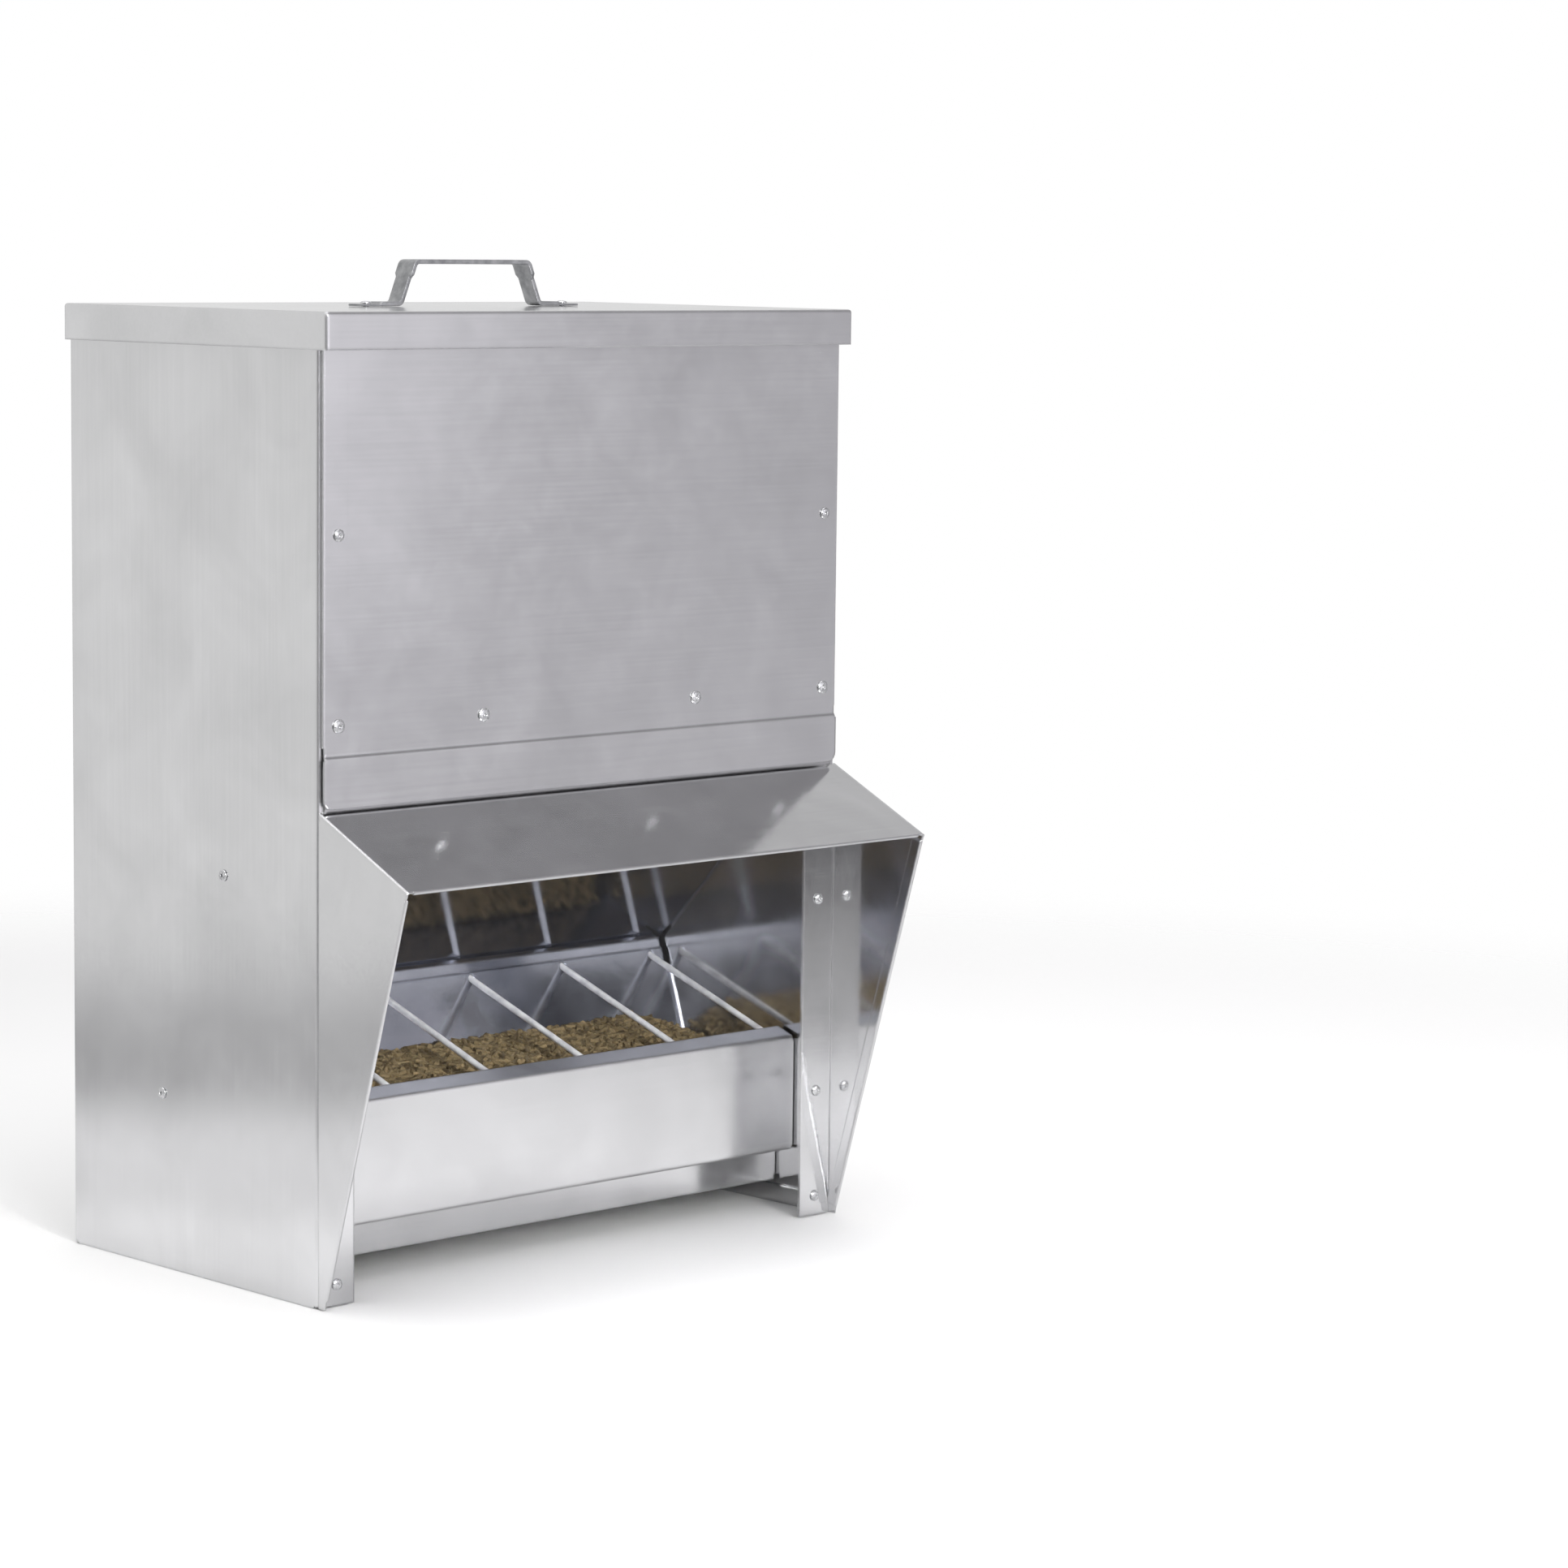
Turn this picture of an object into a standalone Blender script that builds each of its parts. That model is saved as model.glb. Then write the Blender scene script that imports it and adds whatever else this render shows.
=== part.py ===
"""Galvanised sheet-steel trough feeder for poultry: a filled hopper, a rod-guarded trough and a rain hood.

Lengths are metres. +Z is up, the birds feed from -Y, and +X is the right-hand side seen from the trough.
The origin is the middle of the whole feeder's footprint, on the ground.
"""

import math

import bmesh
import bpy
from mathutils import Matrix, Vector

# Sheet metal
SHEET = 0.0008              # galvanised sheet
GAP = 0.0003                # air between two pieces that touch
FOLD = 0.0020               # outside radius of a fold
TIGHT_FOLD = 0.0010         # outside radius beside a narrow flange
NARROW = 0.0095             # a flange up to this wide gets the tight fold
HEM_FOLD = 0.0009           # outside radius of an edge folded back on itself
FOOT_FOLD = 0.0004          # the same under a panel that stands on the ground
RELIEF = 0.0025             # notch at the end of a flange
LAP = SHEET + GAP           # from one sheet's face to the next one's
HEM = 2 * SHEET + GAP       # thickness of a folded edge
FOLD_SEGMENTS = 3

# Body
BODY_WIDTH = 0.417
BODY_DEPTH = 0.242          # outside the side panels' front and rear flanges
LID_TOP = 0.580
FRONT_FLANGE = 0.0265
REAR_FLANGE = 0.028
SIDE_FOOT_HEM = 0.012
FOOT_NOTCH = 0.004          # the foot hem stops this far from the corners
FOOT_LIFT = 0.0015          # corners stay this far off the ground

# Hopper front panel
PANEL_INSET = 0.002
PANEL_OVER_HOOD = 0.0013    # its lower edge above the hood's rear fold
PANEL_STRIP = 0.0295        # the strip along its foot that steps outwards
PANEL_STEP = 0.0016         # height of that step
PANEL_HEM = 0.018
PANEL_CORNER = 0.0065

# Throat plate: from behind the front panel down and back to the throat
THROAT_ANGLE = math.radians(45)
THROAT_FLANGE = 0.0125      # goes on above the low rivets in the front panel
THROAT_SIDE_FLANGE = 0.020

# Apron: hangs under the throat plate and lets the feed out below its lower edge
APRON_ANGLE = math.radians(18)      # from the vertical, its foot towards the birds
APRON_DROP = 0.0068                 # from the throat plate's fold down to the apron's top edge
APRON_HEIGHT = 0.060
APRON_SIDE_FLANGE = 0.018
APRON_FLANGE_START = 0.012
APRON_FLANGE_END = 0.056

# Trough
TROUGH_FRONT = 0.031        # behind the body's front
TROUGH_BOTTOM = 0.0373
TROUGH_TOP = 0.1123
TROUGH_DEPTH = 0.094        # floor, front to back
TROUGH_END_FLANGE = 0.015
LIP_WIDTH = 0.015
LIP_TURN = 0.009
RAKE = math.radians(18.7)     # lip and rods rise towards the back
MOUTH = 0.1181              # from the lip's inner edge to the apron's top edge

# Divider rods
ROD_COUNT = 6
ROD_RADIUS = 0.002
ROD_END_MARGIN = 0.0145     # from the body's outside to the outer rods' axes
ROD_SINK = 0.0036           # axis below the lip's top face
ROD_TAIL = 0.0045           # shank behind the apron
ROD_HEAD_RADIUS = 0.0025
ROD_HEAD = 0.001
ROD_HOLE_REACH = 0.005      # each way from the sheet's face, for the cuts

# Hopper floor
FLOOR_ANGLE = math.radians(45)
FEED_SLOT = 0.0276          # clear gap from the apron's foot to its underside, square to it
FLOOR_FLANGE = 0.025        # up the back panel
FLOOR_TOE = 0.014           # flat strip that lies on the trough's floor

# Base rail under the trough
RAIL_SETBACK = 0.016        # behind the trough's front
RAIL_BOTTOM = 0.0153
RAIL_SHELF = 0.020
RAIL_TAB = 0.015
RAIL_TAB_MARGIN = 0.003

# Hood
HOOD_REACH = 0.0818         # in front of the body
HOOD_REAR = 0.2922
HOOD_FRONT = 0.2546
HOOD_UPSTAND = 0.026
HOOD_HEM = 0.010
CHEEK_TOE = 0.0069
CHEEK_HEM = 0.008
CHEEK_LIFT = 0.001
HEM_START = 0.005           # a hem stops this far from its corners

# Lid
LID_CLEAR_SIDE = 0.0010
LID_CLEAR_FRONT = 0.0089
LID_CLEAR_REAR = 0.0028
LID_RIM = 0.022

# Handle: bent strap on the lid
HANDLE_WIDTH = 0.0125
GRIP_WIDTH = 0.016          # wider across the top
GRIP_START = 0.62           # share of the leg's length below the wide part
GRIP_STEP = 0.05            # share over which it widens
HANDLE_STRAP = 0.0027
HANDLE_HEIGHT = 0.0286
HANDLE_TOP = 0.0925         # length of the bar, outside
HANDLE_SPAN = 0.113         # across the legs' feet, outside
FOOT_SPAN = 0.141           # across the thick feet
TAB_SPAN = 0.174            # across the flattened ends
TAB_STRAP = 0.0013

# Rivets
RIVET_SHANK = 0.0016
RIVET_HEAD = 0.0035
RIVET_DOME = 0.0014
RIVET_TAIL = 0.0026
RIVET_TAIL_LENGTH = 0.0023
EDGE_RIVET = 0.0135         # from the body's side to the rivets in its flanges
PANEL_RIVET_HIGH = 0.452
PANEL_RIVET_SET = 0.0215    # low row, at least this far above the throat plate's top fold
CREASE_RIVET_SET = 0.0165   # and above the front panel's crease
INNER_RIVET = 0.0855        # the two rivets in the middle of a panel
HOOD_RIVETS = (0.206, 0.082, 0.0135)
BACK_RIVETS = (0.060, 0.340, 0.500)
FLOOR_RIVET_SET = 0.013     # above the hopper floor's rear fold
THROAT_RIVET_RUN = 0.1105   # along the throat plate from its lower fold
THROAT_RIVET_SET = 0.0101   # behind its face
APRON_RIVET_RUN = 0.0474
APRON_RIVET_SET = 0.0081

# Feed
FEED_DROP = 0.0102          # from the trough's top down to the feed at its front
FEED_SLOPE = 0.122
FEED_MARGIN = 0.006         # from the body's outside
FEED_BED = 0.0011           # above the trough's floor sheet

ROUND_STEPS = 12

HALF = BODY_WIDTH / 2
INSIDE = HALF - LAP                                     # outer face of what fits between the side panels
BODY_TOP = LID_TOP - SHEET - GAP
LID_FRONT = LID_CLEAR_FRONT + SHEET
LID_REAR = BODY_DEPTH + LID_CLEAR_REAR + SHEET
FRONT = (HOOD_REACH - LID_REAR) / 2                     # Y of the body's front, with the origin mid-footprint


def yz(y, z):
    """A point of the side profile: y back from the body's front, z above the ground."""
    return Vector((y, z))


def turned(angle):
    """The profile direction at an angle above the horizontal, pointing back."""
    return Vector((math.cos(angle), math.sin(angle)))


# The side profile that the throat, the apron, the rods and the feed share
RISE = turned(RAKE)
RISE_NORMAL = Vector((-RISE.y, RISE.x))
TROUGH_LIP_FRONT = yz(TROUGH_FRONT, TROUGH_TOP)
LIP_EDGE = TROUGH_LIP_FRONT + LIP_WIDTH * RISE
APRON_TOP = LIP_EDGE + MOUTH * RISE
APRON_DOWN = Vector((-math.sin(APRON_ANGLE), -math.cos(APRON_ANGLE)))
APRON_BACK = Vector((math.cos(APRON_ANGLE), -math.sin(APRON_ANGLE)))
THROAT_FOLD = APRON_TOP - APRON_DROP * APRON_DOWN + LAP * APRON_BACK
THROAT_UP = Vector((-math.cos(THROAT_ANGLE), math.sin(THROAT_ANGLE)))
THROAT_BACK = Vector((math.sin(THROAT_ANGLE), math.cos(THROAT_ANGLE)))
THROAT_RUN = (THROAT_FOLD.x - LAP) / math.cos(THROAT_ANGLE)
THROAT_HEAD = THROAT_FOLD + THROAT_RUN * THROAT_UP
ROD_THROUGH = RISE.dot(APRON_BACK)                      # cosine of the angle between rods and apron's normal
ROD_RISE_BEHIND = (LAP + SHEET) * RISE.dot(-APRON_DOWN)
THROAT_LEG = APRON_DROP + (ROD_SINK - ROD_RADIUS - GAP - ROD_RISE_BEHIND) / ROD_THROUGH     # ends over the rods
PANEL_BOTTOM = HOOD_REAR + PANEL_OVER_HOOD
PANEL_CREASE = PANEL_BOTTOM + PANEL_STRIP
PANEL_RIVET_LOW = max(THROAT_HEAD.y + PANEL_RIVET_SET, PANEL_CREASE + CREASE_RIVET_SET)
FLOOR_UNDER = TROUGH_BOTTOM + SHEET + GAP
FLOOR_REAR = BODY_DEPTH - LAP
FLOOR_UP = turned(FLOOR_ANGLE)
APRON_FOOT = APRON_TOP + APRON_HEIGHT * APRON_DOWN
FLOOR_BELOW_SLOT = APRON_FOOT + FEED_SLOT * Vector((FLOOR_UP.y, -FLOOR_UP.x))
FLOOR_FOOT = FLOOR_BELOW_SLOT - (FLOOR_BELOW_SLOT.y - FLOOR_UNDER) / FLOOR_UP.y * FLOOR_UP
FLOOR_FOLD = FLOOR_UNDER + (FLOOR_REAR - FLOOR_FOOT.x) * math.tan(FLOOR_ANGLE)
FLOOR_RIVETS = FLOOR_FOLD + FLOOR_RIVET_SET
HOOD_BACK_EDGE = yz(-LAP, HOOD_REAR)
HOOD_TIP = yz(-HOOD_REACH, HOOD_FRONT)


def at(x, profile_point):
    return Vector((x, FRONT + profile_point[0], profile_point[1]))


def clear_scene():
    for obj in list(bpy.data.objects):
        bpy.data.objects.remove(obj, do_unlink=True)


def make_material(name, colour, roughness, metallic):
    made = bpy.data.materials.new(name)
    made.use_nodes = True
    shader = made.node_tree.nodes["Principled BSDF"]
    shader.inputs["Base Color"].default_value = (*colour, 1)
    shader.inputs["Roughness"].default_value = roughness
    shader.inputs["Metallic"].default_value = metallic
    made.diffuse_color = (*colour, 1)
    return made


def add_object(name, mesh, material=None):
    obj = bpy.data.objects.new(name, mesh)
    bpy.context.scene.collection.objects.link(obj)
    if material:
        mesh.materials.append(material)
    return obj


def mesh_from(name, shape):
    mesh = bpy.data.meshes.new(name)
    shape.to_mesh(mesh)
    shape.free()
    return mesh


def narrow_side(face):
    """The face's width across its longest edge."""
    longest = max(edge.calc_length() for edge in face.edges)
    return face.calc_area() / longest


def fold_setback(edge, foot_height):
    """How far a rounded fold cuts back into its two faces, or 0 where the sheet is flat."""
    if len(edge.link_faces) != 2 or edge.calc_face_angle() < math.radians(3):
        return 0.0
    width = min(narrow_side(face) for face in edge.link_faces)
    if width < 1.01 * HEM:
        on_ground = all(vert.co.z < foot_height for vert in edge.verts)
        radius = FOOT_FOLD if on_ground else HEM_FOLD
    else:
        radius = TIGHT_FOLD if width < NARROW else FOLD
    return radius * math.tan(edge.calc_face_angle() / 2)


def folded_sheet(name, faces, outward, material):
    """A folded sheet from flat faces of its outer side. Faces that share an edge are folded there, and the
    folds are rounded before the sheet gets its thickness inwards. outward is the first face's normal."""
    shape = bmesh.new()
    for face in faces:
        shape.faces.new([shape.verts.new(point) for point in face])
    bmesh.ops.remove_doubles(shape, verts=shape.verts, dist=1e-6)
    bmesh.ops.recalc_face_normals(shape, faces=shape.faces)
    shape.faces.ensure_lookup_table()
    if shape.faces[0].normal.dot(Vector(outward)) < 0:
        bmesh.ops.reverse_faces(shape, faces=shape.faces)
    weights = shape.edges.layers.float.new("bevel_weight_edge")
    for edge in shape.edges:
        edge[weights] = fold_setback(edge, FOOT_FOLD) / FOLD
    obj = add_object(name, mesh_from(name, shape), material)
    folds = obj.modifiers.new("Folds", "BEVEL")
    folds.limit_method = "WEIGHT"
    folds.width = FOLD
    folds.segments = FOLD_SEGMENTS
    solid = obj.modifiers.new("Sheet", "SOLIDIFY")
    solid.thickness = SHEET
    solid.offset = -1
    solid.use_even_offset = True
    return obj


def cylinder_between(shape, start, end, radius):
    """Adds a closed cylinder to the bmesh, from start to end."""
    run = end - start
    place = Matrix.Translation((start + end) / 2) @ run.to_track_quat("Z", "Y").to_matrix().to_4x4()
    bmesh.ops.create_cone(
        shape, cap_ends=True, segments=ROUND_STEPS, radius1=radius, radius2=radius, depth=run.length, matrix=place
    )


def cut_holes(obj, holes, radius):
    """Cuts round holes along (start, end) pairs, all with one cutter."""
    shape = bmesh.new()
    for start, end in holes:
        cylinder_between(shape, start, end, radius)
    cutter = add_object(obj.name + "_holes", mesh_from(obj.name + "_holes", shape))
    cutter.hide_render = True
    cutter.display_type = "WIRE"
    cut = obj.modifiers.new("Holes", "BOOLEAN")
    cut.object = cutter
    cut.operation = "DIFFERENCE"


def prism(name, outline, half_width, material):
    """The side-profile outline, run across the feeder from -half_width to half_width."""
    shape = bmesh.new()
    face = shape.faces.new([shape.verts.new(at(-half_width, point)) for point in outline])
    swept = bmesh.ops.extrude_face_region(shape, geom=[face])
    moved = [item for item in swept["geom"] if isinstance(item, bmesh.types.BMVert)]
    bmesh.ops.translate(shape, verts=moved, vec=(2 * half_width, 0, 0))
    bmesh.ops.recalc_face_normals(shape, faces=shape.faces)
    return add_object(name, mesh_from(name, shape), material)


def turned_piece(name, profile, start, direction, material):
    """Spins (radius, height) points about a line through start along direction."""
    shape = bmesh.new()
    verts = [shape.verts.new((radius, 0, height)) for radius, height in profile]
    edges = [shape.edges.new(pair) for pair in zip(verts, verts[1:])]
    bmesh.ops.spin(
        shape, geom=verts + edges, cent=(0, 0, 0), axis=(0, 0, 1), angle=2 * math.pi, steps=ROUND_STEPS
    )
    bmesh.ops.remove_doubles(shape, verts=shape.verts, dist=1e-6)
    bmesh.ops.recalc_face_normals(shape, faces=shape.faces)
    obj = add_object(name, mesh_from(name, shape), material)
    obj.data.shade_smooth()
    obj.data.set_sharp_from_angle(angle=math.radians(40))
    obj.location = start
    obj.rotation_mode = "QUATERNION"
    obj.rotation_quaternion = Vector(direction).to_track_quat("Z", "Y")
    return obj


def mirrored(points):
    """The outline's left half, then the same points mirrored in X, in order round the outline."""
    return points + [Vector((-point.x, point.y, point.z)) for point in reversed(points)]


class RivetHole:
    """A rivet's place: point on the outer face, direction out of it, and the thickness it holds."""

    def __init__(self, name, point, out, grip):
        self.name = name
        self.point = Vector(point)
        self.out = Vector(out)
        self.grip = grip

    def ends(self):
        reach = RIVET_TAIL_LENGTH * self.out
        return self.point + reach, self.point - self.grip * self.out - reach


def front_panel_rivets():
    found = []
    low_grip = 4 * LAP - GAP
    high_grip = 3 * LAP - GAP
    face = FRONT - 2 * LAP
    edge = HALF - EDGE_RIVET
    for side, x in (("left", -edge), ("right", edge)):
        found.append(RivetHole(f"panel_rivet_{side}_high", (x, face, PANEL_RIVET_HIGH), (0, -1, 0), high_grip))
        found.append(RivetHole(f"panel_rivet_{side}_low", (x, face, PANEL_RIVET_LOW), (0, -1, 0), low_grip))
    for side, x in (("left", -INNER_RIVET), ("right", INNER_RIVET)):
        found.append(RivetHole(f"panel_rivet_inner_{side}", (x, face, PANEL_RIVET_LOW), (0, -1, 0), low_grip))
    return found


def hood_rivets():
    edge = HALF - EDGE_RIVET
    return [
        RivetHole(f"hood_rivet_{side}_{level}", (x, FRONT - LAP, z), (0, -1, 0), 2 * LAP - GAP)
        for side, x in (("left", -edge), ("right", edge))
        for level, z in enumerate(HOOD_RIVETS, 1)
    ]


def side_rivets():
    throat = THROAT_FOLD + THROAT_RIVET_RUN * THROAT_UP + THROAT_RIVET_SET * THROAT_BACK
    apron = APRON_TOP + APRON_RIVET_RUN * APRON_DOWN + APRON_RIVET_SET * APRON_BACK
    return [
        RivetHole(f"{plate}_rivet_{side}", at(out * HALF, place), (out, 0, 0), 2 * LAP - GAP)
        for side, out in (("left", -1), ("right", 1))
        for plate, place in (("throat", throat), ("apron", apron))
    ]


def back_rivets():
    face = FRONT + BODY_DEPTH + LAP
    edge = HALF - EDGE_RIVET
    found = [
        RivetHole(f"back_rivet_{side}_{level}", (x, face, z), (0, 1, 0), 2 * LAP - GAP)
        for side, x in (("left", -edge), ("right", edge))
        for level, z in enumerate(BACK_RIVETS, 1)
    ]
    floor_row = (("left", -edge), ("inner_left", -INNER_RIVET), ("inner_right", INNER_RIVET), ("right", edge))
    for place, x in floor_row:
        found.append(RivetHole(f"floor_rivet_{place}", (x, face, FLOOR_RIVETS), (0, 1, 0), 3 * LAP - GAP))
    return found


def handle_centre():
    return FRONT + (LID_REAR - LID_FRONT) / 2


def handle_rivets():
    """One through each flattened end of the handle and the lid's top."""
    tab_top = LID_TOP + GAP + TAB_STRAP
    x = (FOOT_SPAN + TAB_SPAN) / 4
    return [
        RivetHole(f"handle_rivet_{side}", (out * x, handle_centre(), tab_top), (0, 0, 1), TAB_STRAP + GAP + SHEET)
        for side, out in (("left", -1), ("right", 1))
    ]


def make_rivet(place, material):
    """A domed blind rivet: head outside, shank through the sheets, swelled tail inside."""
    under = GAP
    tail = -place.grip - GAP
    profile = [
        (0, under + RIVET_DOME),
        (0.55 * RIVET_HEAD, under + 0.85 * RIVET_DOME),
        (0.90 * RIVET_HEAD, under + 0.45 * RIVET_DOME),
        (RIVET_HEAD, under),
        (RIVET_SHANK, under),
        (RIVET_SHANK, tail),
        (RIVET_TAIL, tail),
        (RIVET_TAIL, tail - 0.6 * RIVET_TAIL_LENGTH),
        (0, tail - RIVET_TAIL_LENGTH),
    ]
    return turned_piece(place.name, profile, place.point, place.out, material)


def rivet_cuts(places):
    return [place.ends() for place in places]


def in_row(places, height):
    """The rivets in the row at this height."""
    return [place for place in places if abs(place.point.z - height) < SHEET]


def side_panel(name, out, rivets, material):
    """A tall channel: its front and rear flanges turn inwards, its foot is folded up inside."""
    x = out * HALF
    depth = BODY_DEPTH
    notch = FOOT_NOTCH
    outline = [
        (0, FOOT_LIFT), (0, BODY_TOP), (depth, BODY_TOP), (depth, FOOT_LIFT),
        (depth - notch, FOOT_LIFT), (depth - notch, 0), (notch, 0), (notch, FOOT_LIFT),
    ]
    inner_front = x - out * FRONT_FLANGE
    inner_rear = x - out * REAR_FLANGE
    inner_foot = x - out * HEM
    faces = [
        [at(x, point) for point in outline],
        [at(inner_front, (0, FOOT_LIFT)), at(inner_front, (0, BODY_TOP)), at(x, (0, BODY_TOP)),
         at(x, (0, FOOT_LIFT))],
        [at(inner_rear, (depth, FOOT_LIFT)), at(inner_rear, (depth, BODY_TOP)), at(x, (depth, BODY_TOP)),
         at(x, (depth, FOOT_LIFT))],
        [at(x, (notch, 0)), at(x, (depth - notch, 0)), at(inner_foot, (depth - notch, 0)),
         at(inner_foot, (notch, 0))],
        [at(inner_foot, (notch, 0)), at(inner_foot, (depth - notch, 0)),
         at(inner_foot, (depth - notch, SIDE_FOOT_HEM)), at(inner_foot, (notch, SIDE_FOOT_HEM))],
    ]
    panel = folded_sheet(name, faces, (out, 0, 0), material)
    own = [place for place in rivets if place.point.x * out > 0 and abs(place.point.x) > HALF - REAR_FLANGE]
    cut_holes(panel, rivet_cuts(own), RIVET_SHANK + GAP)
    return panel


def back_panel(rivets, material):
    """A flat sheet over the side panels' rear flanges, its foot folded up inside."""
    y = BODY_DEPTH + LAP
    wide = HALF - PANEL_INSET
    hem_half = HALF - REAR_FLANGE - FOOT_NOTCH
    left = [at(-wide, (y, BODY_TOP)), at(-wide, (y, FOOT_LIFT)), at(-hem_half, (y, FOOT_LIFT)),
            at(-hem_half, (y, 0))]
    faces = [
        mirrored(left),
        [at(-hem_half, (y, 0)), at(hem_half, (y, 0)), at(hem_half, (y - HEM, 0)), at(-hem_half, (y - HEM, 0))],
        [at(-hem_half, (y - HEM, 0)), at(hem_half, (y - HEM, 0)), at(hem_half, (y - HEM, SIDE_FOOT_HEM)),
         at(-hem_half, (y - HEM, SIDE_FOOT_HEM))],
    ]
    panel = folded_sheet("back_panel", faces, (0, 1, 0), material)
    cut_holes(panel, rivet_cuts(rivets), RIVET_SHANK + GAP)
    return panel


def corner_arc(radius, steps=5):
    """Offsets from a square corner to points on its rounding, from the vertical side to the horizontal one."""
    return [
        (radius * (1 - math.cos(turn)), radius * (1 - math.sin(turn)))
        for turn in (math.pi / 2 * step / steps for step in range(steps + 1))
    ]


def front_panel(rivets, material):
    """The hopper's front: hemmed at the sides, with a lower strip stepped outwards over the hood."""
    wide = HALF - PANEL_INSET
    face = -2 * LAP
    lower_face = face - LAP
    step_top = PANEL_CREASE + PANEL_STEP
    hem_low = step_top + HEM_START
    hem_high = BODY_TOP - HEM_START
    waist = wide - HEM_FOLD
    shoulder = PANEL_CREASE - HEM_FOLD
    main = [at(-waist, (face, step_top)), at(-waist, (face, hem_low)), at(-wide, (face, hem_low)),
            at(-wide, (face, hem_high)), at(-waist, (face, hem_high)), at(-waist, (face, BODY_TOP))]
    lower = [at(-waist, (lower_face, PANEL_CREASE)), at(-waist, (lower_face, shoulder)),
             at(-wide, (lower_face, shoulder))]
    for across, up in reversed([(b, a) for a, b in corner_arc(PANEL_CORNER)]):
        lower.append(at(-wide + across, (lower_face, PANEL_BOTTOM + up)))
    faces = [
        mirrored(main),
        [at(-waist, (face, step_top)), at(waist, (face, step_top)), at(waist, (lower_face, PANEL_CREASE)),
         at(-waist, (lower_face, PANEL_CREASE))],
        mirrored(lower),
    ]
    for out in (-1, 1):
        rim = out * wide
        back = out * (wide - PANEL_HEM)
        faces.append([at(rim, (face, hem_low)), at(rim, (face, hem_high)), at(rim, (face + HEM, hem_high)),
                      at(rim, (face + HEM, hem_low))])
        faces.append([at(rim, (face + HEM, hem_low)), at(rim, (face + HEM, hem_high)),
                      at(back, (face + HEM, hem_high)), at(back, (face + HEM, hem_low))])
    panel = folded_sheet("front_panel", faces, (0, -1, 0), material)
    cut_holes(panel, rivet_cuts(rivets), RIVET_SHANK + GAP)
    return panel


def flanged_plate(name, corner, along, back, length, start, end, flange, extra, rivets, material):
    """A plate across the feeder with two side flanges. It runs from corner along a profile direction, its
    flanges turn back between start and end, and extra lists more faces that join its ends."""
    narrow = INSIDE - RELIEF
    run = [(-narrow, 0), (-narrow, start), (-INSIDE, start), (-INSIDE, end), (-narrow, end), (-narrow, length)]
    faces = [mirrored([at(x, corner + s * along) for x, s in run])]
    for x in (-INSIDE, INSIDE):
        near = corner + start * along
        far = corner + end * along
        faces.append([at(x, near), at(x, far), at(x, far + flange * back), at(x, near + flange * back)])
    front = at(0, corner) - at(0, corner + back)
    plate = folded_sheet(name, faces + extra, front, material)
    cut_holes(plate, rivets, RIVET_SHANK + GAP)
    return plate


def cross_face(first, second, half_width):
    """A flat face between two profile points, across the feeder."""
    return [at(-half_width, first), at(half_width, first), at(half_width, second), at(-half_width, second)]


def throat_plate(side_holes, panel_holes, material):
    """Leans from behind the front panel to the throat, and ends in a short leg behind the apron."""
    narrow = INSIDE - RELIEF
    extra = [
        cross_face(THROAT_HEAD, yz(LAP, PANEL_RIVET_LOW + THROAT_FLANGE), narrow),
        cross_face(THROAT_FOLD, THROAT_FOLD + THROAT_LEG * APRON_DOWN, narrow),
    ]
    margin = APRON_FLANGE_START
    return flanged_plate(
        "throat_plate", THROAT_HEAD, -THROAT_UP, THROAT_BACK, THROAT_RUN, margin, THROAT_RUN - margin,
        THROAT_SIDE_FLANGE, extra, side_holes + panel_holes, material,
    )


def throat_apron(side_holes, rods, material):
    """Hangs in front of the throat plate's leg. The divider rods pass through it under its top edge."""
    apron = flanged_plate(
        "throat_apron", APRON_TOP, APRON_DOWN, APRON_BACK, APRON_HEIGHT, APRON_FLANGE_START, APRON_FLANGE_END,
        APRON_SIDE_FLANGE, [], side_holes, material,
    )
    cut_holes(apron, rods, ROD_RADIUS + GAP)
    return apron


def hopper_floor(rivets, material):
    """Slides the feed from the back panel down to the trough."""
    narrow = INSIDE - RELIEF
    fold = yz(FLOOR_REAR, FLOOR_FOLD)
    toe = FLOOR_FOOT - yz(FLOOR_TOE, 0)
    faces = [
        cross_face(fold, FLOOR_FOOT, narrow),
        cross_face(fold + yz(0, FLOOR_FLANGE), fold, narrow),
        cross_face(FLOOR_FOOT, toe, narrow),
    ]
    under = (0, FLOOR_UP.y, -FLOOR_UP.x)
    floor = folded_sheet("hopper_floor", faces, under, material)
    cut_holes(floor, rivets, RIVET_SHANK + GAP)
    return floor


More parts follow.
